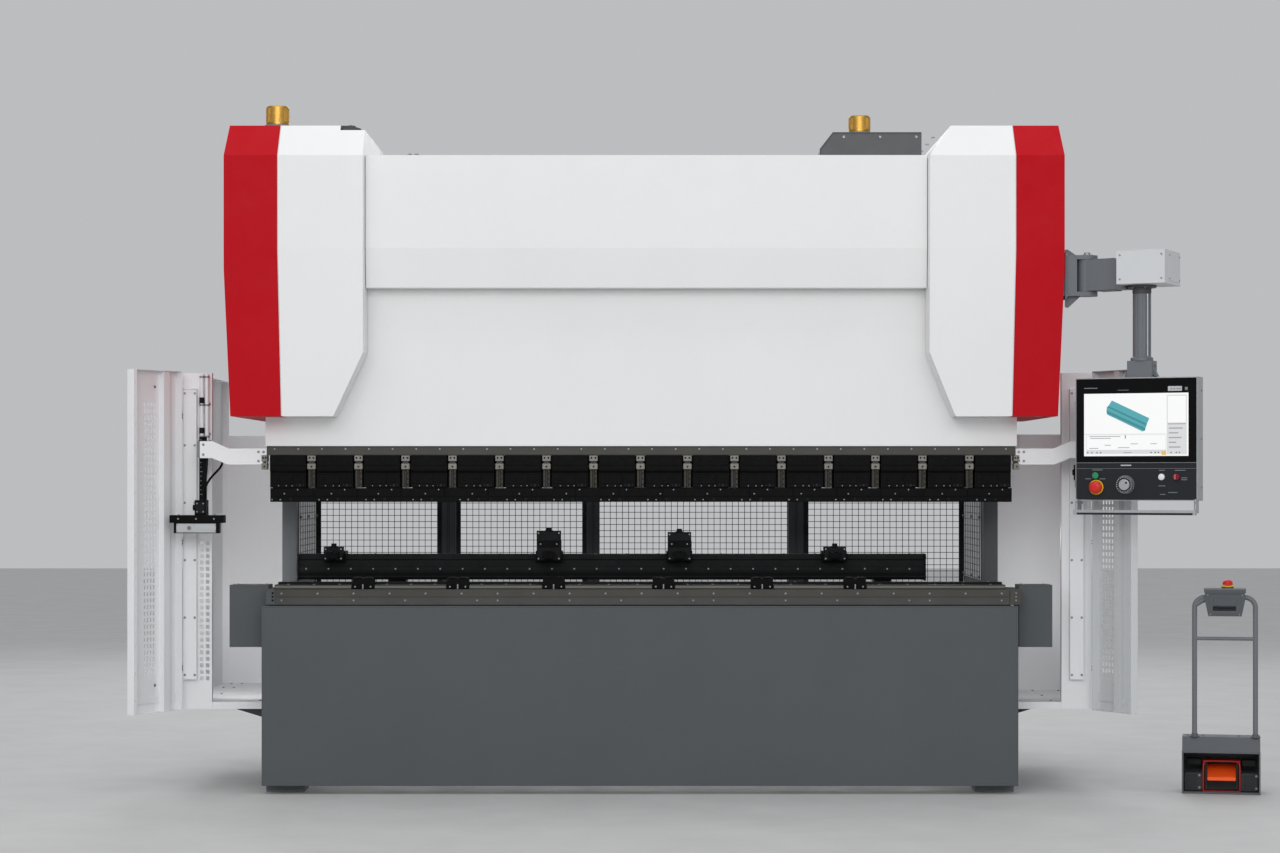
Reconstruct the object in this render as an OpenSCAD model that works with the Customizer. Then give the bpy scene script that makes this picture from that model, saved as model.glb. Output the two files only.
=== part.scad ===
// Press brake with a servo driven ram, side guards, a swinging control panel and a foot control.
// Millimetres. +X right, +Y to the rear, +Z up. The origin is the centre of the four
// floor anchor holes, at floor level.

/* [Side frames] */
// Distance across the outer faces of the side frames
frame_w = 3260; // [3240:10:3260]
// Thickness of each side frame plate
plate_t = 65; // [50:5:65]
// Height of the top edge of the side frames
frame_top = 2650; // [2620:10:2700]
// Rear edge of the throat cut-out, measured along Y
throat_y = -160; // [-200:10:-120]
// Corner radius in the throat
throat_r = 80; // [40:10:120]

/* [Bed and table] */
// Height of the underside of the table
table_z0 = 826; // [822:1:830]
// Thickness of the table plate
table_t = 67; // [60:1:70]
// Thickness of the folded bed front
apron_t = 6; // [4:1:8]
// Radius of the floor anchor holes
anchor_r = 11; // [8:0.5:14]

/* [Ram and tooling] */
// Height of the underside of the ram beam when it is raised
ram_z0 = 1480; // [1476:1:1484]
// Number of punch holders along the ram
holders = 16; // [12:1:16]
// Pitch of the punch holders
holder_pitch = 205.86; // [190:0.01:206]
// Width of one punch holder
holder_w = 158; // [120:1:165]
// Radius of the ball screws
screw_r = 32; // [25:1:36]

/* [Sheet metal covers] */
// Thickness of the cover sheets
sheet = 3; // [2:0.5:4]
// Front face of the end covers, measured along Y
cover_y = -850; // [-860:5:-840]
// Rear edge of the end covers, measured along Y
cover_back = 250; // [150:10:350]
// Height of the flat roof of the end covers
cover_top = 2912; // [2905:1:2920]

/* [Side guards] */
// Angle of the left side door from straight forward
splay_left = 29; // [25:1:40]
// Angle of the right side door from straight forward
splay_right = 28; // [25:1:40]
// Length of the left side door
door_len_left = 365; // [340:5:380]
// Length of the right side door
door_len_right = 310; // [290:5:330]
// Pitch of the perforations, up and down
perf_pitch = 28.6; // [26:0.1:34]

/* [Rear guard] */
// Pitch of the guard mesh bars
mesh_pitch = 64; // [50:1:90]
// Width of one guard mesh bar
mesh_bar = 5; // [3:0.5:8]

/* [Control panel] */
// Angle of the control panel, turned towards the operator
panel_turn = 26; // [20:1:30]
// Width of the control panel
panel_w = 529; // [500:1:540]
// Depth of the control panel housing
panel_d = 93; // [80:1:100]

/* [Hidden] */
$fn = 48;

fx = frame_w / 2;            // outer face of a side frame
fi = fx - plate_t;           // inner face of a side frame
table_z1 = table_z0 + table_t;
bend_y = -560;               // bend line
bore_gap = 0.05;             // radial clearance of a running fit
white = [0.90, 0.90, 0.89];
grey = [0.33, 0.35, 0.36];
dark = [0.07, 0.07, 0.08];
steel = [0.66, 0.67, 0.68];
red = [0.72, 0.02, 0.08];

// a box between two corners
module bx(x0, x1, y0, y1, z0, z1) translate([x0, y0, z0]) cube([x1 - x0, y1 - y0, z1 - z0]);
// a profile in Y and Z, drawn out along X
module yz(x0, x1) translate([x0, 0, 0]) rotate([90, 0, 90]) linear_extrude(x1 - x0) children();
// a profile in X and Z, drawn out along Y
module xz(y0, y1) translate([0, y1, 0]) rotate([90, 0, 0]) linear_extrude(y1 - y0) children();
// a copy and its mirror image
module pair() { children(); mirror([1, 0, 0]) children(); }
// an upright cylinder between two heights
module post(x, y, r, z0, z1) translate([x, y, z0]) cylinder(r = r, h = z1 - z0);

// ---------- side frames ----------
module frame_profile() difference() {
  translate([-600, 37]) square([1200, frame_top - 37]);
  translate([-601, table_z0]) square([601 + throat_y - throat_r, 1700 - table_z0]);
  translate([-601, table_z0 + throat_r]) square([601 + throat_y, 1700 - table_z0 - 2 * throat_r]);
  translate([throat_y - throat_r, table_z0 + throat_r]) circle(throat_r);
  translate([throat_y - throat_r, 1700 - throat_r]) circle(throat_r);
  translate([250, 1500]) circle(90);
}
module left_side_frame() color(grey) yz(-fx, -fi) frame_profile();
module right_side_frame() color(grey) yz(fi, fx) frame_profile();

// ---------- bed ----------
module bed_beam() color(grey) bx(-fi, fi, -620, -520, 60, table_z0);
module bed_apron() color(grey) {
  bx(-1650, 1650, -700, -700 + apron_t, 37, 822);
  pair() bx(-1650, -1650 + apron_t, -700, -606, 37, 822);
  bx(-1648, 1648, -698, -640, 37, 37 + apron_t);
  bx(-1648, 1648, -698, -640, 822 - apron_t, 822);
  for (x = [-1500, -500, 500, 1500]) bx(x - 4, x + 4, -698, -620, 60, 800);
}
module wing(x0, x1) difference() {
  bx(x0, x1, -592, -455, 636, 909);
  bx(x0 + sheet, x1 - sheet, -592 + sheet, -450, 636 + sheet, 909 - sheet);
}
module bed_wings() color(grey) {
  wing(-1806, -1634);
  bx(-1634 - sheet, -fx, -560, -480, 660, 800);
  wing(1668, 1814);
  bx(fx, 1668 + sheet, -560, -480, 660, 800);
}
module levelling_feet() color(steel) for (x = [-1, 1], y = [-520, 520]) difference() {
  bx(x * 1560 - 85, x * 1560 + 85, y - 70, y + 70, 0, 37);
  post(x * 1515, y, anchor_r, -1, 38);
}
module table_top() color(steel) {
  difference() {
    bx(-1633, 1612, -698, -420, table_z0, table_z1);
    bx(-1640, 1620, bend_y - 8, bend_y + 8, table_z1 - 18, table_z1 + 1);
  }
  bx(1613, 1666, -698, -420, table_z0, table_z1);
}
clamp_x = [-1213, -798, -378, 103, 535, 942];
clamp_w = 96;
rail_ends = concat([for (i = [0:6]) [i == 0 ? -1600 : clamp_x[i - 1] + clamp_w / 2 + 1,
                                     i == 6 ? 1600 : clamp_x[i] - clamp_w / 2 - 1]]);
module die_rails() color(steel) {
  for (e = rail_ends) bx(e[0], e[1], -650, -585, table_z1, table_z1 + 19);
  bx(-1600, 1600, -535, -480, table_z1, table_z1 + 27);
}
module die_clamps() color(dark) for (x = clamp_x) yz(x - clamp_w / 2, x + clamp_w / 2)
  polygon([[-656, table_z1], [-656, table_z1 + 22], [-640, table_z1 + 48],
           [-600, table_z1 + 48], [-585, table_z1 + 36], [-585, table_z1]]);

// ---------- covers ----------
// side view of an end cover, inset by e
function cover_side(e) = [[-832 + e, 1646 + e], [cover_y + e, 2370], [cover_y + e, 2770 - e * 0.3],
  [-735 + e * 0.5, cover_top - e], [cover_back + e, cover_top - e], [cover_back + e, 1646 + e]];
// front view of a white part: seam xs, inner side xi, dir +1 when the inner side is at higher X
// b is how far the slanted foot reaches in, tc the width of the top chamfer; with none, a low step is left instead
function white_front(xs, xi, e, dir, b, tc) = concat([[xs - dir * e, 1646 + e], [xi - dir * (b + e * 0.6), 1646 + e],
  [xi - dir * (b - 9 + e * 0.9), 1663 + e * 0.8], [xi - dir * e, 1922 + e * 0.3]],
  tc > 0 ? [[xi - dir * e, 2770 - e * 0.3], [xi - dir * (tc + e * 0.5), cover_top - e]]
    : [[xi - dir * e, 2890 - e], [xi - dir * (107 + e), 2890 - e], [xi - dir * (107 + e), cover_top - e]],
  [[xs - dir * (14 + e), cover_top - e], [xs - dir * (14 + e), 2370]]);
// front view of a red part: seam xs, outer side xo
function red_front(xs, xo, e, dir) = [[xs + dir * e, 1646 + e], [xo - dir * (26 + e), 1646 + e],
  [xo - dir * e, 2275], [xo - dir * e, 2770 - e * 0.3], [xo - dir * (10 + e), cover_top - e],
  [xs + dir * (14 + e), cover_top - e], [xs + dir * (14 + e), 2370]];
module white_part(xs, xi, dir, b, tc) difference() {
  intersection() {
    yz(min(xs - dir * 15, xi), max(xs - dir * 15, xi)) polygon(cover_side(0));
    xz(-900, cover_back) polygon(white_front(xs, xi, 0, dir, b, tc));
  }
  intersection() {
    yz(min(xs, xi) - 25, max(xs, xi) + 25) polygon(cover_side(sheet));
    xz(-900, cover_back + 5) polygon(white_front(xs - dir * 2, xi, sheet, dir, b, tc));
  }
  // way for the ram and its front skin
  bx(min(xs, xi) - 25, max(xs, xi) + 25, -655, cover_back + 5, 1600, 2500);
}
module red_part(xs, xo, dir) difference() {
  intersection() {
    yz(min(xs, xo), max(xs, xo)) polygon(cover_side(0));
    xz(-900, cover_back) polygon(red_front(xs, xo, 0, dir));
  }
  intersection() {
    yz(min(xs, xo) - 5, max(xs, xo) + 5) polygon(cover_side(sheet));
    xz(-900, cover_back + 5) polygon(red_front(xs - dir * 5, xo, sheet, dir));
  }
  // way for the ram skin and the side frame
  bx(min(xs, dir * 1656), max(xs, dir * 1656), -656, cover_back + 5, 1600, 1660);
}
module white_end_covers() color(white) {
  white_part(-1546, -1194, 1, 130, 0);
  white_part(1604, 1249, -1, 114, 102);
}
module red_end_covers() color(red) {
  red_part(-1547, -1793, -1);
  difference() {
    red_part(1605, 1829, 1);
    bx(1800, 1840, -836, -744, 2157, 2349);
  }
}
module upper_cover() color(white) {
  yz(-1191, 1246) polygon([[-656, 2207], [-741, 2207], [-760, 2377], [-760, 2781], [-50, 2781], [-50, 2778],
    [-757, 2778], [-757, 2377.4], [-738.3, 2210], [-656, 2210]]);
  for (x = [-1191, 1243]) yz(x, x + 3) polygon([[-656, 2207], [-741, 2207], [-760, 2377], [-760, 2781],
    [-680, 2781], [-656, 2700]]);
}
module top_box() color(grey) difference() {
  xz(-550, -50) polygon([[797, 2781], [797, 2830], [854, 2903], [1243, 2903], [1243, 2781]]);
  xz(-547, -53) polygon([[800, 2780], [800, 2829], [855.5, 2900], [1240, 2900], [1240, 2780]]);
}
module cap(x, y, z, r, h) translate([x, y, z]) {
  cylinder(r = r * 1.12, h = 10);
  translate([0, 0, 10]) cylinder(r = r * 0.93, h = 6);
  translate([0, 0, 16]) cylinder(r = r, h = h - 22);
  translate([0, 0, h - 6]) cylinder(r1 = r, r2 = r - 5, h = 6);
}
module filler_caps() color("goldenrod") {
  cap(-1586, -650, cover_top, 50, 93);
  cap(975, -470, 2903, 48, 84);
}

// ---------- rear ----------
module hinge_fixed(x, y, z) { post(x, y, 8, z, z + 30); post(x, y, 4, z + 29, z + 66); }
module hinge_barrel(x, y, z) difference() {
  post(x, y, 8, z + 31, z + 66);
  post(x, y, 4 + bore_gap, z + 30, z + 67);
}
posts_x = [[-956, -890], [-255, -195], [715, 790]];
module rear_frame() color(grey) {
  for (p = posts_x) bx(p[0], p[1], 560, 620, 60, 2600);
  for (z = [640, 1700, 2540]) bx(-fi, fi, 560, 620, z, z + 60);
  for (z = [800, 1560]) { hinge_fixed(760, 634, z); bx(745, 770, 619, 630, z, z + 30); }
}
module mesh_panel(w, h) difference() {
  square([w, h]);
  nx = floor((w - 50 + mesh_bar) / mesh_pitch); nz = floor((h - 50 + mesh_bar) / mesh_pitch);
  cw = (w - 50 + mesh_bar) / nx; ch = (h - 50 + mesh_bar) / nz;
  for (i = [0:nx - 1], j = [0:nz - 1])
    translate([25 + i * cw, 25 + j * ch]) square([cw - mesh_bar, ch - mesh_bar]);
}
module rear_guard_panels() color(dark)
  for (b = [[-fi, -956], [-890, -255], [790, fi]])
    xz(600, 605) translate([b[0], 700]) mesh_panel(b[1] - b[0], 1000);
module rear_guard_door() color(dark) {
  xz(622, 627) translate([-225, 690]) mesh_panel(960, 1020);
  for (z = [800, 1560]) { hinge_barrel(760, 634, z); bx(733, 760, 622, 628, z + 31, z + 66); }
  bx(-215, -200, 627, 655, 1150, 1250);
}

// ---------- side guards ----------
module perforated(u0, u1, cols, z0, z1) {
  p = (u1 - u0) / cols;
  for (i = [0:cols - 1], z = [z0:perf_pitch:z1]) translate([u0 + (i + 0.5) * p - p * 0.29, z]) square([p * 0.58, 18]);
}
module side_walls() color(white) {
  // left: side sheet, front jamb with perforations, inner return, top flange, door post
  bx(-2035, -2032, -450, 695, 352, 1847);
  xz(-450, -447) difference() {
    translate([-2035, 352]) square([130, 1495]);
    perforated(-1964, -1911, 2, 480, 1100);
  }
  bx(-1908, -1905, -448, -420, 384, 1847);
  bx(-2034, -2000, -448, 695, 1844, 1847);
  bx(-2034, -2000, 692, 695, 352, 1847);
  difference() { bx(-2030, -1970, -476, -449, 485, 1776); bx(-2012, -1988, -480, -470, 500, 1760); }
  for (z = [520, 1080, 1640]) { hinge_fixed(-2044, -459, z); bx(-2044, -2034, -452, -430, z, z + 30); }
  // right
  bx(2007, 2010, -450, 249, 352, 1847);
  bx(1876, 2010, -450, -447, 352, 1847);
  bx(1876, 1879, -448, -420, 384, 1847);
  bx(1975, 2009, -448, 249, 1844, 1847);
  difference() { bx(1910, 1970, -476, -449, 485, 1776); bx(1928, 1952, -480, -470, 500, 1760); }
  for (z = [520, 1080, 1640]) { hinge_fixed(2019, -459, z); bx(2009, 2019, -452, -430, z, z + 30); }
}
module enclosure_trays() color(white) {
  bx(-2032, -fx, -446, 692, 380, 383);
  bx(-1904, -fx, -449, -446, 352, 383);
  bx(-1999, -fx, 689, 692, 380, 1585);
  bx(fx, 2007, -446, 249, 380, 383);
  bx(fx, 1875, -449, -446, 352, 383);
  bx(fx, 2007, 246, 249, 380, 1585);
}
// a pan shaped door: hinge line at the origin, length along X, inner side at +Y
module side_door(len, p0, p1, s0, s1) {
  z0 = 352; z1 = 1852;
  xz(0, 2) difference() {
    translate([8, z0]) square([len - 8, z1 - z0]);
    perforated(p0, p1, 4, 520, 1700);
  }
  bx(len - 2, len, 1, 36, z0, z1);
  difference() {
    bx(len - 22, len - 1, 34, 36, z0, z1);
    for (z = [z0 + 60:60:z1 - 60]) translate([len - 12, 30, z]) rotate([-90, 0, 0]) cylinder(r = 3.5, h = 10);
  }
  bx(34, 36, 1, 36, z0, z1);
  bx(34, len - 1, 1, 36, z0, z0 + 2);
  bx(34, len - 1, 1, 36, z1 - 2, z1);
  bx(s0, s0 + 2, 1, 28, z0 + 2, z1 - 2);
  bx(s1 - 2, s1, 1, 28, z0 + 2, z1 - 2);
  bx(s0, s1, 26, 28, z0 + 2, z1 - 2);
  for (z = [520, 1080, 1640]) {
    hinge_barrel(0, 0, z);
    bx(6, 12, 0, 2, z + 31, z + 66);
  }
}
module left_side_door() color(white) translate([-2044, -459, 0]) rotate([0, 0, -90 - splay_left])
  side_door(door_len_left, 177, 260, 108, 150);
module right_side_door() color(white) translate([2019, -459, 0]) mirror([1, 0, 0]) rotate([0, 0, -90 - splay_right])
  side_door(door_len_right, 60, 146, 180, 215);

// ---------- drive ----------
drive_x = 1400;
drive_y = -430;
module drive_housings() color(grey) pair() difference() {
  bx(-fi, -1300, -520, -330, 2460, 2600);
  post(-drive_x, drive_y, screw_r + bore_gap, 2450, 2610);
}
module servo_motors() color(dark) pair() {
  bx(-drive_x - 90, -drive_x + 90, drive_y - 90, drive_y + 90, 2600, 2625);
  post(-drive_x, drive_y, 78, 2624, 2800);
  bx(-drive_x - 65, -drive_x + 65, drive_y - 65, drive_y + 65, 2799, 2870);
}
module ball_screw(x) {
  post(x, drive_y, screw_r, 1650, 2595);
  post(x, drive_y, screw_r + 14, 2436, 2459);
}
module left_ball_screw() color(steel) ball_screw(-drive_x);
module right_ball_screw() color(steel) ball_screw(drive_x);
module guide_rails() color(steel) {
  pair() bx(-fi, -1545, -570, -520, 1750, 2450);
  pair() bx(-1130, -1070, -520, 580, 700, 778);
}

// ---------- ram ----------
module ram_beam() color(grey) {
  bx(-1544.5, 1544.5, -590, -500, ram_z0, 2450);
  bx(-1635, 1645, -645, -500, ram_z0, 1516);
}
module ram_skin() color(white) {
  bx(-1640, 1650, -650, -647, 1520, 2440);
  bx(-1640, -1637, -648, -606, 1520, 2440);
  bx(1647, 1650, -648, -606, 1520, 2440);
  for (z = [1520, 2437]) { bx(-1638, 1648, -648, -606, z, z + 3); bx(-1540, 1540, -607, -590, z, z + 3); }
}
holder_x0 = -(holders - 1) * holder_pitch / 2 + 2;
module punch_holders() color(dark) for (i = [0:holders - 1])
  yz(holder_x0 + i * holder_pitch - holder_w / 2, holder_x0 + i * holder_pitch + holder_w / 2)
    polygon([[-648, ram_z0], [-648, 1412], [-640, 1402], [-640, 1338], [-553, 1338], [-553, 1275],
             [-500, 1275], [-500, ram_z0]]);
module punch_clamp_bar() color(dark) bx(-1620, 1629, -640, -567, 1275, 1336);
module ball_nuts() color(steel) pair() difference() {
  union() { bx(-1480, -1320, -500, -370, 1900, 2000); post(-drive_x, drive_y, 58, 1999, 2060); }
  post(-drive_x, drive_y, screw_r + bore_gap, 1890, 2070);
}

// ---------- laser guard ----------
module arm_profile(e) polygon([[-1635 - e * 0, 1439 + e], [-1635, 1509 - e], [-1807, 1509 - e], [-1877, 1541 - e],
  [-1929 + e, 1541 - e], [-1929 + e, 1467 + e], [-1877, 1467 + e], [-1807, 1439 + e]]);
module laser_arm() {
  difference() { xz(-640, -590) arm_profile(0); xz(-636, -589) arm_profile(4); }
  difference() { xz(-600, -590) arm_profile(0); xz(-601, -589) arm_profile(14); }
  bx(-1639, -1635, -640, -590, 1439, 1509);
}
module laser_arms() color(white) { laser_arm(); translate([10, 0, 0]) mirror([1, 0, 0]) laser_arm(); }
module laser_head() {
  bx(-1940, -1908, -588, -574, 1217, 1560);
  bx(-1950, -1901, -652, -573, 1216, 1283);
  bx(-2059, -1822, -660, -592, 1183, 1217);
  bx(-2041, -1844, -656, -596, 1138, 1184);
}
// route of the left head's lead: from the block, up and behind the arm
lead = [[-1916, -618, 1282], [-1916, -618, 1300], [-1914, -615, 1318], [-1910, -608, 1338], [-1902, -600, 1358],
  [-1891, -590, 1377], [-1878, -582, 1394], [-1864, -577, 1409], [-1851, -574, 1424], [-1842, -573, 1440],
  [-1838, -573, 1458], [-1837, -573, 1480]];
lead_r = 5;
function unit(v) = v / norm(v);
function ring(i) = let(a = lead[max(i - 1, 0)], b = lead[min(i + 1, len(lead) - 1)], t = unit(b - a),
  s = unit(cross(t, [0, 1, 0.01])), q = cross(t, s))
  [for (k = [0:7]) lead[i] + lead_r * (cos(k * 45) * s + sin(k * 45) * q)];
module lead_tube() polyhedron(
  points = [for (i = [0:len(lead) - 1]) each ring(i)],
  faces = concat([[for (k = [0:7]) k]], [[for (k = [0:7]) (len(lead) - 1) * 8 + 7 - k]],
    [for (i = [0:len(lead) - 2], k = [0:7]) [i * 8 + k, (i + 1) * 8 + k, (i + 1) * 8 + (k + 1) % 8, i * 8 + (k + 1) % 8]]));
module left_laser_head() color(dark) { laser_head(); lead_tube(); }
// the right head is parked higher, behind the panel
module right_laser_head() color(dark) {
  bx(1918, 1950, -588, -574, 1372, 1715);
  bx(1911, 1960, -652, -573, 1371, 1438);
  bx(1914, 2044, -660, -592, 1338, 1372);
  bx(1922, 2036, -656, -596, 1293, 1339);
}

// ---------- backgauge ----------
module backgauge_carriages() color(grey) pair() {
  bx(-1150, -1050, -228, -60, 779, 800);
  bx(-1140, -1060, -228, -120, 799, 1028);
  bx(-1150, -1131.5, -228, -60, 730, 780);
  bx(-1068.5, -1050, -228, -60, 730, 780);
}
module backgauge_beam() color(dark) yz(-1535, 1279)
  polygon([[-318, 923], [-330, 935], [-330, 1010], [-322, 1016], [-322, 1035], [-230, 1035], [-230, 923]]);
module finger(x, w, h) {
  bx(x, x + w, -346, -232, 1036, 1052);
  bx(x, x + w, -346, -331, 1002, 1037);
  bx(x + 6, x + w - 6, -400, -345, 1010, 1010 + h);
  bx(x + w / 2 - 25, x + w / 2 + 25, -470, -399, 1022, 1050);
}
module finger_far_left() color(dark) finger(-1420, 98, 62);
module finger_mid_left() color(dark) finger(-468, 120, 134);
module finger_mid_right() color(dark) finger(118, 117, 128);
module finger_far_right() color(dark) finger(816, 112, 62);

// ---------- electrical cabinet ----------
module electrical_cabinet() color(grey) {
  difference() { bx(fx, 2006, 255, 900, 392, 1560); bx(fx + 3, 2010, 258, 897, 395, 1557); }
  bx(fx + 2, fx + 20, 300, 860, 440, 1500);
  for (z = [520, 1300]) { hinge_fixed(2016, 910, z); bx(2000, 2016, 899, 912, z, z + 30); }
}
module cabinet_door() color(grey) {
  difference() { bx(2007, 2028, 256, 898, 393, 1559); bx(2006, 2025, 260, 894, 397, 1555); }
  for (z = [520, 1300]) { hinge_barrel(2016, 910, z); bx(2012, 2022, 897, 903.5, z + 31, z + 66); }
  bx(2027, 2036, 285, 305, 850, 950);
}

// ---------- control pendant ----------
boom_x = 1935; boom_y = -790;
swivel_x = 2143; swivel_y = -950;
module pendant_bracket() color(grey) {
  bx(fx, 1690, -590, -470, 2165, 2341);
  bx(1660, 1690, -832, -469, 2165, 2341);
  bx(1661, 1885, -832, -748, 2165, 2341);
  for (z = [2165, 2323]) { bx(1880, boom_x, -835, -745, z, z + 18); post(boom_x, boom_y, 45, z, z + 18); }
  post(boom_x, boom_y, 18, 2166, 2340);
}
module swivel_shape() translate([2171, -950, 2203]) rotate([0, 0, -panel_turn]) translate([-104.5, -124.5, 0]) cube([209, 249, 141]);
module pendant_boom() color(grey) difference() {
  union() {
    post(boom_x, boom_y, 45, 2184, 2322);
    translate([boom_x, boom_y, 2187]) rotate([0, 0, atan2(swivel_y - boom_y, swivel_x - boom_x)])
      translate([0, -42, 0]) cube([205, 84, 132]);
  }
  post(boom_x, boom_y, 18 + bore_gap, 2177, 2330);
  swivel_shape();
}
module swivel_box() color([0.78, 0.79, 0.8]) difference() {
  swivel_shape();
  post(swivel_x, swivel_y, 25 + bore_gap, 2200, 2300);
}
module pendant_post() color(grey) {
  post(swivel_x, swivel_y, 36, 1850, 2202);
  post(swivel_x, swivel_y, 25, 2200, 2290);
  translate([swivel_x, swivel_y, 1806]) rotate([0, 0, -panel_turn]) translate([-54, -40, 0]) cube([108, 80, 73]);
}
// the panel's own frame: X along its width, Y into it, front face at Y = -panel_d / 2
module panel_frame() translate([2130, -950, 0]) rotate([0, 0, -panel_turn]) children();
pf = -panel_d / 2;
module panel_housing() color(steel) panel_frame() difference() {
  bx(-panel_w / 2, panel_w / 2, pf + 4, panel_d / 2, 1284, 1806);
  bx(-panel_w / 2 + 4, panel_w / 2 - 4, pf, panel_d / 2 - 4, 1288, 1802);
}
module panel_glass() color(dark) panel_frame() bx(-panel_w / 2, panel_w / 2, pf, pf + 4, 1445, 1806);
module control_strip() color([0.15, 0.16, 0.18]) panel_frame() difference() {
  bx(-panel_w / 2, panel_w / 2, pf, pf + 4, 1284, 1444.5);
  for (c = [[-173, 1340], [-46, 1351], [-176, 1390], [112, 1384], [175, 1384]]) translate([c[0], pf - 5, c[1]])
    rotate([-90, 0, 0]) cylinder(r = 8 + bore_gap, h = 20);
}
// round control: face radius r, height h, with a stem through the strip
module control(x, z, r, h, gap) panel_frame() translate([x, pf - gap, z]) rotate([90, 0, 0]) {
  cylinder(r = r, h = h);
  translate([0, 0, -gap - 14]) cylinder(r = 8, h = gap + 15);
}
module panel_estop() color(red) {
  control(-173, 1340, 26, 16, 5.5);
  panel_frame() translate([-173, pf - 21.5, 1340]) rotate([90, 0, 0]) cylinder(r1 = 26, r2 = 20, h = 5);
}
module panel_dial() color(steel) control(-46, 1351, 35, 18, 1.5);
module green_button() color("limegreen") control(-176, 1390, 14, 4, 3);
module white_button() color("white") control(112, 1384, 13, 4, 3);
module key_switch() color("crimson") {
  control(175, 1384, 13, 8, 1.5);
  panel_frame() bx(172, 178, pf - 22, pf - 9, 1373, 1395);
}
module panel_handle() color(steel) panel_frame() {
  bx(-panel_w / 2 - 3.5, panel_w / 2 - 2.5, pf - 24, pf - 2, 1222, 1243);
  for (x = [-panel_w / 2 + 2.5, panel_w / 2 - 14.5]) bx(x, x + 6, pf - 3, pf + 60, 1230, 1284);
}

// ---------- foot control ----------
foot_y = -640;
// the foot control stands turned a little
module foot_frame() translate([2553, -610, 0]) rotate([0, 0, -12]) translate([-2553, 610, 0]) children();
module foot_stand() color([0.55, 0.57, 0.59]) foot_frame() {
  for (s = [[2439, 1], [2700, -1]]) {
    post(s[0], foot_y, 11, 245, 812);
    translate([s[0] + s[1] * 45, foot_y, 812]) rotate([90, 0, 0]) rotate([0, 0, s[1] > 0 ? 90 : 0])
      rotate_extrude(angle = 90) translate([45, 0]) circle(11);
  }
  translate([2445, foot_y, 676]) rotate([0, 90, 0]) cylinder(r = 8, h = 249);
}
module foot_box() color(grey) foot_frame() difference() {
  union() {
    xz(-668, -612) polygon([[2484, 840], [2484, 878], [2655, 878], [2655, 840], [2641, 775], [2498, 775]]);
    bx(2480, 2659, -672, -608, 877, 896);
    post(2581, foot_y, 26, 895, 905);
  }
  bx(2520, 2618, -670, -650, 796, 815);
  post(2581, foot_y, 8 + bore_gap, 860, 906);
}
module foot_estop() color(red) foot_frame() {
  post(2581, foot_y, 8, 870, 912);
  post(2581, foot_y, 21, 911, 926);
  translate([2581, foot_y, 926]) cylinder(r1 = 21, r2 = 16, h = 5);
}
module foot_hood() color(grey) foot_frame() {
  difference() {
    yz(2386, 2720) polygon([[-700, 0], [-700, 185], [-650, 245], [-520, 245], [-520, 0]]);
    yz(2390, 2716) polygon([[-701, 4], [-701, 178], [-648, 241], [-524, 241], [-524, 4]]);
  }
  difference() {
    for (x = [2484, 2618]) bx(x, x + 8, -570, -523, 3, 130);
    translate([2480, -547, 112]) rotate([0, 90, 0]) cylinder(r = 5 + bore_gap, h = 160);
  }
}
module foot_pedal() color("orangered") foot_frame() {
  translate([2482, -547, 112]) rotate([0, 90, 0]) cylinder(r = 5, h = 146);
  yz(2494, 2616) polygon([[-541, 106], [-553, 106], [-672, 62], [-690, 62], [-690, 70], [-674, 71], [-553, 118], [-541, 118]]);
}

left_side_frame();
right_side_frame();
bed_beam();
bed_apron();
bed_wings();
levelling_feet();
table_top();
die_rails();
die_clamps();
upper_cover();
white_end_covers();
red_end_covers();
top_box();
filler_caps();
rear_frame();
rear_guard_panels();
side_walls();
enclosure_trays();
pendant_bracket();
drive_housings();
servo_motors();
guide_rails();
electrical_cabinet();
foot_stand();
foot_box();
foot_hood();
ram_beam();
ram_skin();
punch_holders();
ball_nuts();
laser_arms();
punch_clamp_bar();
left_ball_screw();
right_ball_screw();
pendant_boom();
swivel_box();
pendant_post();
panel_housing();
panel_glass();
control_strip();
panel_handle();
panel_estop();
panel_dial();
green_button();
white_button();
key_switch();
left_side_door();
right_side_door();
rear_guard_door();
backgauge_carriages();
backgauge_beam();
finger_far_left();
finger_mid_left();
finger_mid_right();
finger_far_right();
left_laser_head();
right_laser_head();
cabinet_door();
foot_pedal();
foot_estop();
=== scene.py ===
import bpy, bmesh, math, random
from mathutils import Matrix, Vector


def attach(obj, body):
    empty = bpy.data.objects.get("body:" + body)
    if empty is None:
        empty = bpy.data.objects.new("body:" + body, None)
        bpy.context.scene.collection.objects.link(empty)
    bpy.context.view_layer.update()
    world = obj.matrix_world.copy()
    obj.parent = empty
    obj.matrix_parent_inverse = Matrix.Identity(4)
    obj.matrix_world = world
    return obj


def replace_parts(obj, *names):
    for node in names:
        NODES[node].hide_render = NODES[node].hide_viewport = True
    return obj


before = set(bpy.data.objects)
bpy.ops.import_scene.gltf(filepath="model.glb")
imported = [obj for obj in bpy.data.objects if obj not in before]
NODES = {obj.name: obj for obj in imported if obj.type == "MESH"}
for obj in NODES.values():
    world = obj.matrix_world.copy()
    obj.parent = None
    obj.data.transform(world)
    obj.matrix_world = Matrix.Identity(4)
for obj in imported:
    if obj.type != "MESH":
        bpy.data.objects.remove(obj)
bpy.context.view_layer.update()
random.seed(7)

# ------------------------------------------------------------------ camera
scene = bpy.context.scene
cam_data = bpy.data.cameras.new("camera")
cam_data.sensor_width = 36.0
cam_data.lens = 77.4
cam_data.shift_y = 0.0418
cam = bpy.data.objects.new("camera", cam_data)
scene.collection.objects.link(cam)
cam.location = (0.0, -12.7, 1.371)
cam.rotation_euler = (math.radians(90), 0, 0)
cam_data.clip_end = 200
scene.camera = cam
scene.view_settings.view_transform = "Standard"

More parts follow.
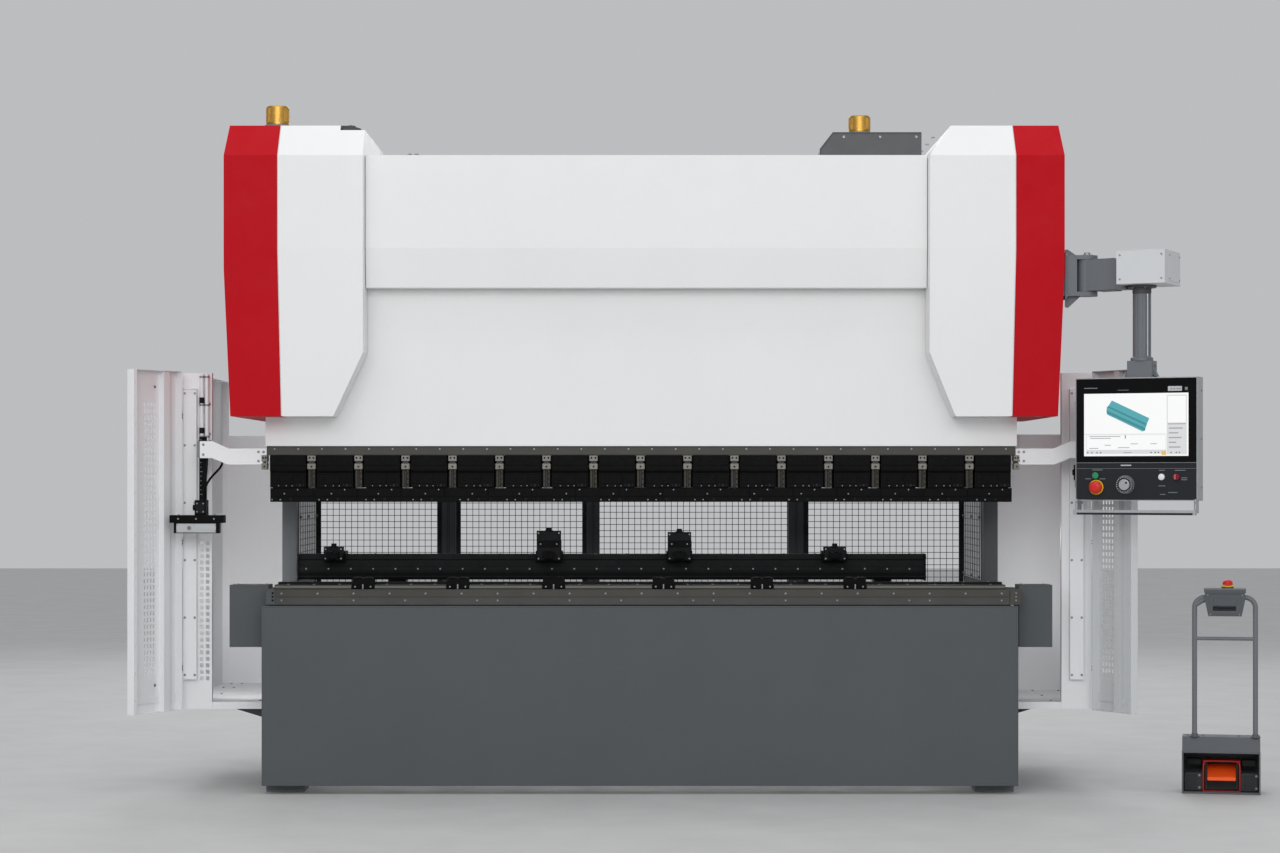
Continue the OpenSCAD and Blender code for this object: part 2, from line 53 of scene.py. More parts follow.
MM = 0.001
PANEL = Matrix.Translation((2130, -950, 0)) @ Matrix.Rotation(math.radians(-26), 4, "Z")
PF = -46.5
DOOR_L = Matrix.Translation((-2044, -459, 0)) @ Matrix.Rotation(math.radians(-119), 4, "Z")
DOOR_R = Matrix.Translation((2019, -459, 0)) @ Matrix.Scale(-1, 4, (1, 0, 0)) @ Matrix.Rotation(math.radians(-118), 4, "Z")
SWIVEL = Matrix.Translation((2171, -950, 2203)) @ Matrix.Rotation(math.radians(-26), 4, "Z")
BOOM = Matrix.Translation((1935, -790, 0)) @ Matrix.Rotation(math.atan2(-160, 208), 4, "Z")
MIRROR = Matrix.Scale(-1, 4, (1, 0, 0))


# ------------------------------------------------------------------ geometry in millimetres
class Geo:
    """Collects closed shapes, then makes one mesh of them."""

    def __init__(self, M=None):
        self.v, self.f, self.mi, self.M = [], [], [], M

    def add(self, verts, faces, mi=0, M=None):
        o = len(self.v)
        if M is not None:
            verts = [M @ Vector(p) for p in verts]
        if self.M is not None:
            verts = [self.M @ Vector(p) for p in verts]
        self.v.extend(verts)
        self.f.extend([tuple(i + o for i in f) for f in faces])
        self.mi.extend([mi] * len(faces))

    def box(self, x0, x1, y0, y1, z0, z1, c=1.0, mi=0, M=None):
        """A box with chamfered edges."""
        x0, x1 = min(x0, x1), max(x0, x1)
        y0, y1 = min(y0, y1), max(y0, y1)
        z0, z1 = min(z0, z1), max(z0, z1)
        c = min(c, (x1 - x0) * 0.45, (y1 - y0) * 0.45, (z1 - z0) * 0.45)
        lo, hi = (x0, y0, z0), (x1, y1, z1)
        V, idx = [], {}
        for sx in (0, 1):
            for sy in (0, 1):
                for sz in (0, 1):
                    s = (sx, sy, sz)
                    for a in range(3):  # the corner point lying on the face normal to axis a
                        p = []
                        for b in range(3):
                            e = hi[b] if s[b] else lo[b]
                            if b != a:
                                e += -c if s[b] else c
                            p.append(e)
                        idx[(s, a)] = len(V)
                        V.append(tuple(p))
        F = []
        for a in range(3):
            b, d = [(1, 2), (0, 2), (0, 1)][a]
            for sa in (0, 1):
                q = []
                for sb, sd in ((0, 0), (1, 0), (1, 1), (0, 1)):
                    s = [0, 0, 0]
                    s[a], s[b], s[d] = sa, sb, sd
                    q.append(idx[(tuple(s), a)])
                F.append(tuple(q))
        for a in range(3):  # edges along axis a
            b, d = [(1, 2), (0, 2), (0, 1)][a]
            for sb in (0, 1):
                for sd in (0, 1):
                    s0, s1 = [0, 0, 0], [0, 0, 0]
                    s0[b] = s1[b] = sb
                    s0[d] = s1[d] = sd
                    s1[a] = 1
                    F.append((idx[(tuple(s0), b)], idx[(tuple(s1), b)], idx[(tuple(s1), d)], idx[(tuple(s0), d)]))
        for sx in (0, 1):
            for sy in (0, 1):
                for sz in (0, 1):
                    s = (sx, sy, sz)
                    F.append((idx[(s, 0)], idx[(s, 1)], idx[(s, 2)]))
        self.add(V, F, mi, M)

    def lathe(self, p, axis, prof, n=24, mi=0, M=None, cap=(True, True)):
        """Profile points (distance along the axis, radius), turned about an axis through p."""
        a = {"x": Vector((1, 0, 0)), "y": Vector((0, 1, 0)), "z": Vector((0, 0, 1)),
             "-x": Vector((-1, 0, 0)), "-y": Vector((0, -1, 0)), "-z": Vector((0, 0, -1))}.get(axis, axis)
        a = Vector(a).normalized()
        u = a.orthogonal().normalized()
        w = a.cross(u)
        p = Vector(p)
        V, F = [], []
        for h, r in prof:
            for k in range(n):
                t = 2 * math.pi * k / n
                V.append(p + a * h + (u * math.cos(t) + w * math.sin(t)) * max(r, 0.01))
        for j in range(len(prof) - 1):
            for k in range(n):
                F.append((j * n + k, j * n + (k + 1) % n, (j + 1) * n + (k + 1) % n, (j + 1) * n + k))
        if cap[0]:
            F.append(tuple(reversed(range(n))))
        if cap[1]:
            F.append(tuple((len(prof) - 1) * n + k for k in range(n)))
        self.add(V, F, mi, M)

    def cyl(self, p, axis, r, h, n=24, c=0.8, mi=0, M=None):
        c = min(c, r * 0.4, h * 0.4)
        self.lathe(p, axis, [(0, r - c), (c, r), (h - c, r), (h, r - c)], n, mi, M)

    def ring(self, p, axis, ro, ri, h, n=28, mi=0, M=None):
        a = [(0, ri), (0, ro - 0.4), (0.4, ro), (h - 0.4, ro), (h, ro - 0.4), (h, ri)]
        s = len(self.f)
        self.lathe(p, axis, a + [a[0]], n, mi, M, cap=(False, False))

    def screw(self, p, axis, r, h=3, mi=0, mh=None, M=None):
        """Socket head with a twelve sided recess."""
        n = 12
        prof = [(0, r), (h * 0.8, r), (h, r * 0.86), (h, r * 0.5), (h * 0.35, r * 0.5)]
        self.lathe(p, axis, prof, n, mi, M)

    def hexbolt(self, p, axis, r, h=6, mi=0, M=None):
        self.lathe(p, axis, [(0, r * 1.35), (h * 0.2, r * 1.35), (h * 0.2, r)], 20, mi, M)
        self.lathe(p, axis, [(h * 0.2, r), (h * 0.85, r), (h, r * 0.85)], 6, mi, M)

    def tube(self, pts, r, n=10, mi=0, M=None, smooth=1):
        """A round bar swept along points."""
        P = [Vector(q) for q in pts]
        for _ in range(smooth):
            if len(P) > 2:
                Q = [P[0]]
                for a, b in zip(P[:-1], P[1:]):
                    Q += [a.lerp(b, 0.25), a.lerp(b, 0.75)]
                Q.append(P[-1])
                P = Q
        V, F = [], []
        t = (P[1] - P[0]).normalized()
        u = t.orthogonal().normalized()
        for i, q in enumerate(P):
            t = (P[min(i + 1, len(P) - 1)] - P[max(i - 1, 0)]).normalized()
            u = (u - t * u.dot(t)).normalized()
            w = t.cross(u)
            for k in range(n):
                g = 2 * math.pi * k / n
                V.append(q + (u * math.cos(g) + w * math.sin(g)) * r)
        for j in range(len(P) - 1):
            for k in range(n):
                F.append((j * n + k, j * n + (k + 1) % n, (j + 1) * n + (k + 1) % n, (j + 1) * n + k))
        F.append(tuple(reversed(range(n))))
        F.append(tuple((len(P) - 1) * n + k for k in range(n)))
        self.add(V, F, mi, M)

    def prism(self, poly, axis, a, b, mi=0, M=None, c=0.0):
        """A polygon drawn out along an axis; poly gives the other two coordinates in order."""
        def at(q, h):
            return {"x": (h, q[0], q[1]), "y": (q[0], h, q[1]), "z": (q[0], q[1], h)}[axis]
        n = len(poly)
        cx = sum(q[0] for q in poly) / n
        cy = sum(q[1] for q in poly) / n
        def inset(q, d):
            v = Vector((q[0] - cx, q[1] - cy))
            l = v.length
            return tuple(Vector((cx, cy)) + v * max(0, (l - d) / l)) if l > 0 else q
        rings = [(a, 0), (b, 0)] if c <= 0 else [(a, c), (a + math.copysign(c, b - a), 0), (b - math.copysign(c, b - a), 0), (b, c)]
        V = [at(inset(q, d) if d else q, h) for h, d in rings for q in poly]
        F = []
        for j in range(len(rings) - 1):
            for k in range(n):
                F.append((j * n + k, j * n + (k + 1) % n, (j + 1) * n + (k + 1) % n, (j + 1) * n + k))
        F.append(tuple(reversed(range(n))))
        F.append(tuple((len(rings) - 1) * n + k for k in range(n)))
        self.add(V, F, mi, M)

    def make(self, name, mats, body, angle=32):
        mats = mats if isinstance(mats, (list, tuple)) else [mats]
        me = bpy.data.meshes.new(name)
        me.from_pydata([tuple(c * MM for c in p) for p in self.v], [], self.f)
        for m in mats:
            me.materials.append(m)
        me.polygons.foreach_set("material_index", self.mi)
        bm = bmesh.new()
        bm.from_mesh(me)
        bmesh.ops.remove_doubles(bm, verts=bm.verts, dist=1e-7)
        bmesh.ops.recalc_face_normals(bm, faces=bm.faces)
        bm.to_mesh(me)
        bm.free()
        me.polygons.foreach_set("use_smooth", [True] * len(me.polygons))
        me.set_sharp_from_angle(angle=math.radians(angle))
        me.update()
        ob = bpy.data.objects.new(name, me)
        scene.collection.objects.link(ob)
        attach(ob, body)
        return ob


# ------------------------------------------------------------------ materials
class Tree:
    def __init__(self, name):
        self.m = bpy.data.materials.new(name)
        self.m.use_nodes = True
        self.t = self.m.node_tree
        self.t.nodes.clear()
        self.out = self.n("ShaderNodeOutputMaterial")
        self.s = self.n("ShaderNodeBsdfPrincipled")
        self.l(self.s.outputs[0], self.out.inputs[0])
        self.co = self.n("ShaderNodeTexCoord").outputs["Object"]

    def n(self, kind, **kw):
        node = self.t.nodes.new(kind)
        for k, v in kw.items():
            setattr(node, k, v)
        return node

    def l(self, a, b):
        self.t.links.new(a, b)

    def mapped(self, scale):
        m = self.n("ShaderNodeMapping")
        m.inputs["Scale"].default_value = scale
        self.l(self.co, m.inputs["Vector"])
        return m.outputs[0]

    def noise(self, scale=1.0, detail=3.0, rough=0.5, stretch=None, distortion=0.0):
        x = self.n("ShaderNodeTexNoise")
        x.inputs["Scale"].default_value = scale
        x.inputs["Detail"].default_value = detail
        x.inputs["Roughness"].default_value = rough
        x.inputs["Distortion"].default_value = distortion
        self.l(self.mapped(stretch) if stretch else self.co, x.inputs["Vector"])
        return x.outputs["Fac"]

    def ramp(self, fac, stops):
        r = self.n("ShaderNodeValToRGB")
        e = r.color_ramp.elements
        while len(e) < len(stops):
            e.new(0.5)
        for el, (p, c) in zip(e, stops):
            el.position = p
            el.color = (c[0], c[1], c[2], 1) if hasattr(c, "__len__") else (c, c, c, 1)
        self.l(fac, r.inputs[0])
        return r.outputs[0]

    def rng(self, fac, lo, hi, a=0.3, b=0.7):
        r = self.n("ShaderNodeMapRange")
        r.inputs["From Min"].default_value = a
        r.inputs["From Max"].default_value = b
        r.inputs["To Min"].default_value = lo
        r.inputs["To Max"].default_value = hi
        self.l(fac, r.inputs["Value"])
        return r.outputs[0]

    def mix(self, fac, a, b, mode="MIX"):
        x = self.n("ShaderNodeMix", data_type="RGBA", blend_type=mode)
        for sock, val in ((0, fac), (6, a), (7, b)):
            if hasattr(val, "is_linked") or isinstance(val, bpy.types.NodeSocket):
                self.l(val, x.inputs[sock])
            elif sock == 0:
                x.inputs[0].default_value = val
            else:
                x.inputs[sock].default_value = (*val, 1)
        return x.outputs[2]

    def bump(self, height, strength, distance, normal=None):
        b = self.n("ShaderNodeBump")
        b.inputs["Strength"].default_value = strength
        b.inputs["Distance"].default_value = distance
        self.l(height, b.inputs["Height"])
        if normal is not None:
            self.l(normal, b.inputs["Normal"])
        return b.outputs[0]

    def set(self, **kw):
        for k, v in kw.items():
            sock = self.s.inputs[k.replace("_", " ")]
            if isinstance(v, bpy.types.NodeSocket):
                self.l(v, sock)
            else:
                sock.default_value = v
        return self.m


def lin(r, g=None, b=None):
    """sRGB values from 0 to 255 as linear colour."""
    if g is None:
        g = b = r
    def f(c):
        c /= 255.0
        return c / 12.92 if c <= 0.04045 else ((c + 0.055) / 1.055) ** 2.4
    return (f(r), f(g), f(b))


def scaled(c, k):
    return tuple(min(1.0, x * k) for x in c)


def paint(name, c, rough=0.42, var=0.03, peel=0.06, coat=0.0, soil=0.05, spec=0.35):
    t = Tree(name)
    base = t.ramp(t.noise(1.3, 5, 0.6), [(0.3, scaled(c, 1 - var)), (0.7, scaled(c, 1 + var))])
    fine = t.ramp(t.noise(85, 4, 0.6), [(0.35, 1 - var * 0.8), (0.65, 1.0)])
    base = t.mix(1.0, base, fine, "MULTIPLY")
    rub = t.noise(4, 6, 0.65, (1, 1, 0.25))
    base = t.mix(t.rng(rub, 0.0, soil, 0.45, 0.8), base, scaled(c, 0.55))
    r = t.rng(t.noise(9, 5, 0.7), rough - 0.06, rough + 0.1)
    skin = t.bump(t.noise(420, 2, 0.5), peel, 0.0006)
    wave = t.bump(t.noise(1.7, 2, 0.4), 0.16, 0.004, skin)
    return t.set(Base_Color=base, Roughness=r, Normal=wave, Coat_Weight=coat, Coat_Roughness=0.15, Specular_IOR_Level=spec)


def metal(name, c, rough=0.34, along="x", var=0.08, aniso=0.4, metallic=1.0, spec=0.5):
    t = Tree(name)
    st = {"x": (0.03, 1, 1), "y": (1, 0.03, 1), "z": (1, 1, 0.03)}[along]
    grain = t.noise(700, 3, 0.6, st)
    cloud = t.noise(6, 5, 0.6)
    base = t.mix(1.0, t.ramp(cloud, [(0.3, scaled(c, 1 - var)), (0.7, scaled(c, 1 + var))]), t.ramp(grain, [(0.3, 0.84), (0.7, 1.0)]), "MULTIPLY")
    r = t.rng(grain, rough - 0.07, rough + 0.09)
    return t.set(Base_Color=base, Metallic=metallic, Roughness=r, Normal=t.bump(grain, 0.1, 0.0004), Anisotropic=aniso, Specular_IOR_Level=spec)


def blackened(name, c, rough=0.42, spec=0.5, metallic=0.35):
    """Blackened tool steel, with faint lighter handling marks."""
    t = Tree(name)
    cloud = t.noise(14, 6, 0.65)
    base = t.ramp(cloud, [(0.25, scaled(c, 0.7)), (0.6, c), (0.85, scaled(c, 1.7))])
    marks = t.noise(240, 3, 0.7, (0.25, 1, 1))
    base = t.mix(t.rng(marks, 0.0, 0.25, 0.55, 0.8), base, scaled(c, 2.6))
    r = t.rng(t.noise(40, 4, 0.6), rough - 0.1, rough + 0.12)
    return t.set(Base_Color=base, Metallic=metallic, Roughness=r, Normal=t.bump(t.noise(520, 2, 0.5), 0.12, 0.0005), Specular_IOR_Level=spec)


def plastic(name, c, rough=0.35, grain=0.05, scale=900, spec=0.5):
    t = Tree(name)
    base = t.ramp(t.noise(20, 4, 0.6), [(0.3, scaled(c, 0.94)), (0.7, scaled(c, 1.05))])
    r = t.rng(t.noise(60, 3, 0.6), rough - 0.05, rough + 0.08)
    return t.set(Base_Color=base, Roughness=r, Normal=t.bump(t.noise(scale, 2, 0.5), grain, 0.0004), Specular_IOR_Level=spec)


def glowing(name, c, strength):
    t = Tree(name)
    base = t.ramp(t.noise(300, 1, 0.4), [(0.3, scaled(c, 0.97)), (0.7, c)])
    base = t.mix(1.0, base, (0.3, 0.3, 0.3), "MULTIPLY")
    return t.set(Base_Color=base, Roughness=0.5, Emission_Color=(*c, 1), Emission_Strength=strength)


WHITE = paint("white_paint", lin(236, 236, 236), 0.45, 0.012, 0.05, soil=0.02, spec=0.25)
WHITE_IN = paint("white_paint_inside", lin(238, 239, 241), 0.45, 0.02, 0.05, soil=0.04, spec=0.25)
RED = paint("red_paint", lin(187, 3, 22), 0.5, 0.03, 0.05, soil=0.03, spec=0.12)
GREY = paint("bed_grey_paint", lin(85, 89, 92), 0.55, 0.03, 0.08, soil=0.08, spec=0.2)
FRAME = paint("frame_grey_paint", lin(74, 77, 79), 0.5, 0.05, 0.1, soil=0.12)
DARKGREY = paint("dark_grey_paint", lin(58, 61, 63), 0.5, 0.05, 0.1, soil=0.12)
ARM = paint("arm_grey_paint", lin(108, 112, 117), 0.42, 0.03, 0.06)
LIGHT = paint("light_grey_paint", lin(208, 210, 212), 0.4, 0.015, 0.05, soil=0.02)
FOOT = paint("foot_grey_paint", lin(112, 116, 120), 0.42, 0.04, 0.06)
ROOFBOX = paint("roof_box_grey", lin(84, 86, 88), 0.45, 0.04, 0.06)
HOOD = paint("foot_hood_grey", lin(94, 97, 101), 0.45, 0.04, 0.06)
FOOTBOX = paint("foot_box_grey", lin(84, 88, 92), 0.45, 0.04, 0.06)
DARKBOX = paint("pedal_side_box", lin(40, 42, 46), 0.5, 0.06, 0.08)
# darker copy of the white paint: painted shade for the right door and its fittings
SHADE = paint("white_paint_shaded_door_right", lin(214, 216, 218), 0.5, 0.03, 0.05, soil=0.05, spec=0.2)
CABINET = paint("cabinet_grey_paint", lin(184, 187, 189), 0.5, 0.02, 0.12)
BLACK = blackened("blackened_steel", lin(10, 10, 11), 0.45, spec=0.07, metallic=0.0)
BEAM = blackened("beam_black_finish", lin(26, 27, 28), 0.5, spec=0.1, metallic=0.0)
STEEL = metal("ground_steel", lin(80, 79, 75), 0.5, "x", metallic=0.3, spec=0.15)
RAIL = metal("rail_steel", lin(118, 117, 111), 0.45, "x", metallic=0.4, spec=0.2)
TABLE = metal("table_steel", lin(84, 84, 82), 0.62, "x", metallic=0.15, spec=0.1)
STEELV = metal("turned_steel", lin(172, 173, 175), 0.28, "z")
BRIGHT = metal("bright_steel", lin(158, 157, 152), 0.4, "x", 0.08, metallic=0.6, spec=0.3)
BOLT = metal("zinc_screws", lin(150, 152, 154), 0.4, "x", 0.05, metallic=0.7)
BRASS = metal("brass_cap", lin(186, 146, 72), 0.33, "z", 0.1)
BRONZE = metal("bronze_strip", lin(70, 66, 60), 0.5, "z", 0.12, metallic=0.5, spec=0.2)
CLAMPS = metal("clamp_steel", lin(132, 129, 122), 0.42, "x", 0.1, metallic=0.6, spec=0.25)
SILVER = metal("panel_aluminium", lin(190, 192, 195), 0.36, "z", 0.04, 0.2)
MESH = paint("mesh_black_coat", lin(34, 34, 34), 0.5, 0.1, 0.1)
GLASS = Tree("panel_glass")
GLASS = GLASS.set(Base_Color=GLASS.ramp(GLASS.noise(3, 3), [(0.3, lin(5, 5, 6)), (0.7, lin(8, 8, 10))]),
                  Roughness=GLASS.rng(GLASS.noise(5, 5, 0.7), 0.06, 0.14), Specular_IOR_Level=0.14)
SLATE = plastic("slate_plastic", lin(33, 36, 40), 0.5, 0.12, spec=0.2)
KEY = plastic("key_crimson", lin(158, 24, 46), 0.35, spec=0.3)
RUBBER = plastic("black_rubber", lin(18, 18, 19), 0.6, 0.2, spec=0.2)
REDP = plastic("red_plastic", lin(206, 32, 24), 0.3)
ORANGEP = plastic("pedal_orange", lin(255, 92, 24), 0.42, 0.1)
CAGE = plastic("cage_red", lin(168, 26, 14), 0.4, 0.08)
YELLOW = plastic("yellow_plastic", lin(236, 190, 20), 0.4)
GREENP = plastic("green_plastic", lin(46, 138, 92), 0.35, spec=0.3)
WHITEP = plastic("white_plastic", lin(232, 233, 234), 0.3)
PRINT = plastic("white_print", lin(190, 192, 195), 0.5)
GREYP = plastic("grey_plastic", lin(120, 124, 128), 0.4)
# blue glow used as a painted glint on the holder studs, not a lamp
BLUE_GLINT = glowing("blue_painted_glint", lin(30, 38, 84), 0.25)
SCREEN = glowing("screen_white", lin(250, 250, 250), 0.72)
SCREEN_GREY = glowing("screen_grey", lin(224, 225, 227), 0.66)
SCREEN_LINE = glowing("screen_line", lin(170, 174, 178), 0.6)
SCREEN_DARK = glowing("screen_dark", lin(90, 94, 98), 0.5)
TEAL = glowing("screen_teal", lin(84, 176, 184), 0.62)
TEAL_D = glowing("screen_teal_dark", lin(60, 146, 156), 0.58)
SCREEN_ORANGE = glowing("screen_orange", lin(244, 196, 110), 0.62)


def finish_node(name, mat):
    ob = NODES[name]
    if not ob.material_slots:
        ob.data.materials.append(mat)
    for s in ob.material_slots:
        s.material = mat


# right_side_door takes the white paint with painted shade
for name, mat in {
    "left_side_frame": DARKGREY, "right_side_frame": DARKGREY, "bed_beam": FRAME, "bed_apron": GREY, "bed_wings": GREY,
    "levelling_feet": FOOT, "table_top": TABLE, "die_rails": BEAM, "die_clamps": BLACK, "upper_cover": WHITE,
    "white_end_covers": WHITE, "red_end_covers": RED, "top_box": ROOFBOX, "filler_caps": BRASS, "rear_frame": DARKGREY,
    "rear_guard_panels": MESH, "side_walls": WHITE_IN, "enclosure_trays": WHITE_IN, "pendant_bracket": ARM,
    "drive_housings": FRAME, "servo_motors": RUBBER, "guide_rails": STEELV, "electrical_cabinet": CABINET,
    "foot_stand": FOOT, "foot_box": FOOTBOX, "foot_hood": HOOD, "ram_beam": FRAME, "ram_skin": WHITE, "punch_holders": BLACK,
    "ball_nuts": STEELV, "laser_arms": WHITE_IN, "punch_clamp_bar": BLACK, "left_ball_screw": STEELV,
    "right_ball_screw": STEELV, "pendant_boom": ARM, "swivel_box": LIGHT, "pendant_post": ARM, "panel_housing": SILVER,
    "panel_glass": GLASS, "control_strip": SLATE, "panel_handle": SILVER, "panel_estop": REDP, "panel_dial": SILVER,
    "green_button": GREENP, "white_button": WHITEP, "key_switch": KEY, "left_side_door": WHITE_IN,
    "right_side_door": SHADE, "rear_guard_door": MESH, "backgauge_carriages": FRAME, "backgauge_beam": BEAM,
    "finger_far_left": BLACK, "finger_mid_left": BLACK, "finger_mid_right": BLACK, "finger_far_right": BLACK,
    "left_laser_head": BLACK, "right_laser_head": BLACK, "cabinet_door": CABINET, "foot_pedal": ORANGEP,
    "foot_estop": REDP}.items():
    finish_node(name, mat)

# ------------------------------------------------------------------ punch holders, clamps and studs with a painted blue glint
HX = [(-15 * 205.86 / 2 + 2) + i * 205.86 for i in range(16)]
g = Geo()
for cx in HX:
    g.box(cx - 77, cx + 77, -650, -647.6, 1436, 1478, 1.0)              # upper face plate
    g.box(cx - 77, cx + 77, -649.6, -647.6, 1416, 1431, 0.8)            # lower face plate, the groove lies between
    g.box(cx - 72, cx + 20, -642.4, -639.6, 1356, 1396, 1.0)            # adjuster cover
    g.box(cx + 26, cx + 74, -642.0, -639.6, 1340, 1396, 1.0)
    g.cyl((cx - 48, -640, 1376), "-y", 9, 6, 20)
    g.cyl((cx + 48, -640, 1372), "-y", 11, 5, 20)
g.make("holder_plates", BLACK, "ram")

g = Geo()
for i, cx in enumerate(HX):
    for dx, z, y, r in ((0, 1465, -650, 4.5), (-62, 1458, -650, 4), (62, 1458, -650, 4), (-62, 1424, -649.6, 3.5), (62, 1424, -649.6, 3.5),
                        (-60, 1390, -642.4, 3.5), (8, 1390, -642.4, 3.5), (-60, 1362, -642.4, 3.5), (8, 1362, -642.4, 3.5)):
        g.screw((cx + dx, y + 0.3, z), "-y", r * 0.8, 2.4, mi=0)
    for dx in (-42, -8, 18):
        g.screw((cx + dx, -639.7, 1346), "-y", 2.6, 3.2, mi=1)
g.make("holder_screws", [BEAM, BOLT], "ram")

# small blue studs on each holder; their glow is a painted glint standing in for the highlight on screw heads
g = Geo()
for cx in HX:
    g.cyl((cx + 52, -641.2, 1348), "-y", 7.5, 3, 16, mi=0)
    g.lathe((cx + 52, -644, 1348), "-y", [(0, 3.0), (1.2, 2.9), (2.0, 2.0), (2.4, 0.6)], 14, mi=1)
    for dx in (-15, 15):
        g.lathe((cx + 52 + dx, -641.4, 1348), "-y", [(0, 2.2), (1.2, 2.0), (1.8, 0.5)], 10, mi=1)
g.make("holder_glint_studs", [RUBBER, BLUE_GLINT], "ram")

# silver clamps in the gaps, with the bronze wedge strip below each
gap_x = [(a + b) / 2 for a, b in zip(HX[:-1], HX[1:])] + [HX[0] - 103, HX[-1] + 103]
g = Geo()
for j, cx in enumerate(gap_x):
    w = 19 if j < 15 else 13
    g.box(cx - w, cx + w, -646, -600, 1453, 1479.5, 2.0, mi=0)             # upper clamp block
    g.box(cx - w * 0.7, cx + w * 0.7, -640, -604, 1444, 1453, 1.0, mi=1)   # neck
    g.box(cx - w, cx + w, -649, -604, 1417, 1444, 2.5, mi=0)               # lower clamp block
    g.cyl((cx, -649, 1430), "-y", 6.5, 2.5, 18, mi=0)
    g.screw((cx - w * 0.45, -646, 1468), "-y", 4, 3, mi=2)
    g.screw((cx + w * 0.45, -646, 1468), "-y", 4, 3, mi=2)
    g.screw((cx + 0.1, -651.5, 1430), "-y", 3.6, 2, mi=2)
    if j < 15:
        g.box(cx - 15, cx - 4, -636, -600, 1337, 1416, 1.2, mi=3)
        g.box(cx - 2.5, cx + 2.5, -632, -600, 1337, 1416, 1.0, mi=1)
        g.box(cx + 4, cx + 15, -638, -600, 1337, 1416, 1.2, mi=3)
        for z in (1352, 1376, 1400):
            g.screw((cx + 9.5, -638, z), "-y", 3, 2, mi=2)
            g.box(cx - 15.5, cx - 3.5, -637, -634, z - 1.2, z + 1.2, 0.3, mi=1)
g.make("punch_clamps", [CLAMPS, DARKGREY, BLACK, BRONZE], "ram")

g = Geo()
g.box(-1543, 1548, -597, -592, 1338, 1479, 0.8)
g.make("holder_back_strip", BLACK, "ram")

# machined face of the ram's foot
g = Geo()
g.box(-1634, 1644, -647, -644.6, 1481.5, 1515, 1.2, mi=0)
for k in range(32):
    x = -1600 + k * 103.3
    g.screw((x, -647, 1507), "-y", 4.2, 2.2, mi=1)
g.box(-1634, 1644, -648, -646.5, 1515, 1519.5, 0.5, mi=2)
g.make("ram_foot_face", [STEEL, BOLT, FRAME], "ram")

# punch clamp bar: relief line, joints and screws
g = Geo()
for k in range(17):
    x0 = -1619 + k * 190.9
    g.box(x0, x0 + 189.4, -642.2, -639.6, 1300, 1334, 1.0, mi=0)
    g.box(x0, x0 + 189.4, -641.4, -639.6, 1277, 1297, 1.0, mi=0)
for cx in HX:
    g.screw((cx + 42, -642.2, 1329), "-y", 3.2, 2.6, mi=1)
    g.screw((cx - 16, -642.2, 1311), "-y", 3.2, 2.6, mi=1)
    g.screw((cx - 70, -641.4, 1285), "-y", 3.2, 2.6, mi=1)
    g.screw((cx - 34, -641.4, 1285), "-y", 3.2, 2.6, mi=1)
    g.screw((cx + 66, -641.4, 1286), "-y", 3.6, 2.6, mi=2)
    g.cyl((cx + 12, -641.6, 1287), "-y", 6.5, 2.2, 16, mi=2)
g.make("clamp_bar_faces", [BLACK, BOLT, BEAM], "punch_clamp")

# ------------------------------------------------------------------ table
g = Geo()
g.box(-1590, 1609, -700.6, -697.6, 861, 891, 1.0, mi=0)
g.box(-1590, 1609, -699.6, -697.6, 828, 859.5, 0.8, mi=4)
g.box(-1631, -1593, -700, -697.6, 828, 891, 1.0, mi=2)
g.box(1615, 1664, -700, -697.6, 828, 891, 1.0, mi=0)
k = 0
x = -1563
while x < 1600:
    g.screw((x, -700.6, 876), "-y", 4.6, 2.6, mi=1)
    if k % 3 != 1:
        g.screw((x + 68 if k % 2 else x, -699.6, 846), "-y", 4.2, 2.6, mi=1)
    x += 157
    k += 1
for z in (846, 862, 878):
    g.screw((-1602, -700, z), "-y", 4.5, 2.4, mi=3)
    g.screw((1640, -700, z), "-y", 4.0, 2.4, mi=1)
g.make("table_front_strips", [STEEL, BOLT, FRAME, BLACK, TABLE], "machine")

# die rails: ground caps, grooves and screws
CLX = [-1213, -798, -378, 103, 535, 942]
g = Geo()
ends = [(-1600 if i == 0 else CLX[i - 1] + 49, 1600 if i == 6 else CLX[i] - 49) for i in range(7)]
for a, b in ends:
    g.box(a + 2, b - 2, -651.5, -649.6, 896, 909, 0.8, mi=0)
    n = max(2, int((b - a) / 105))
    for j in range(n):
        xx = a + (j + 0.5) * (b - a) / n
        g.screw((xx, -618, 911.8), "z", 6, 2.6, mi=1)
n = 30
for j in range(n):
    xx = -1560 + j * 107
    g.screw((xx, -506, 919.8), "z", 5, 2.6, mi=1)
g.box(-1598, 1598, -536.5, -534.6, 902, 917, 0.8, mi=2)
g.make("die_rail_faces", [RAIL, BOLT, BEAM], "machine")

g = Geo()
for cx in CLX:
    g.box(cx - 44, cx + 44, -657.6, -655.6, 896, 913, 1.2, mi=0)
    g.box(cx - 40, cx - 8, -642, -606, 940.6, 944.5, 1.2, mi=0)
    g.box(cx + 8, cx + 40, -642, -606, 940.6, 944.5, 1.2, mi=0)
    for dx in (-24, 24):
        g.lathe((cx + dx, -622, 940.8), "z", [(0, 8), (2.6, 8), (3.6, 6.5), (3.6, 4), (1.2, 4)], 18, mi=1)
    g.box(cx - 3, cx + 3, -658.2, -655.6, 894, 915, 0.6, mi=1)
    for dx in (-34, 34):
        g.screw((cx + dx, -657.6, 904), "-y", 4, 2, mi=1)
g.make("die_clamp_details", [BLACK, BOLT], "machine")

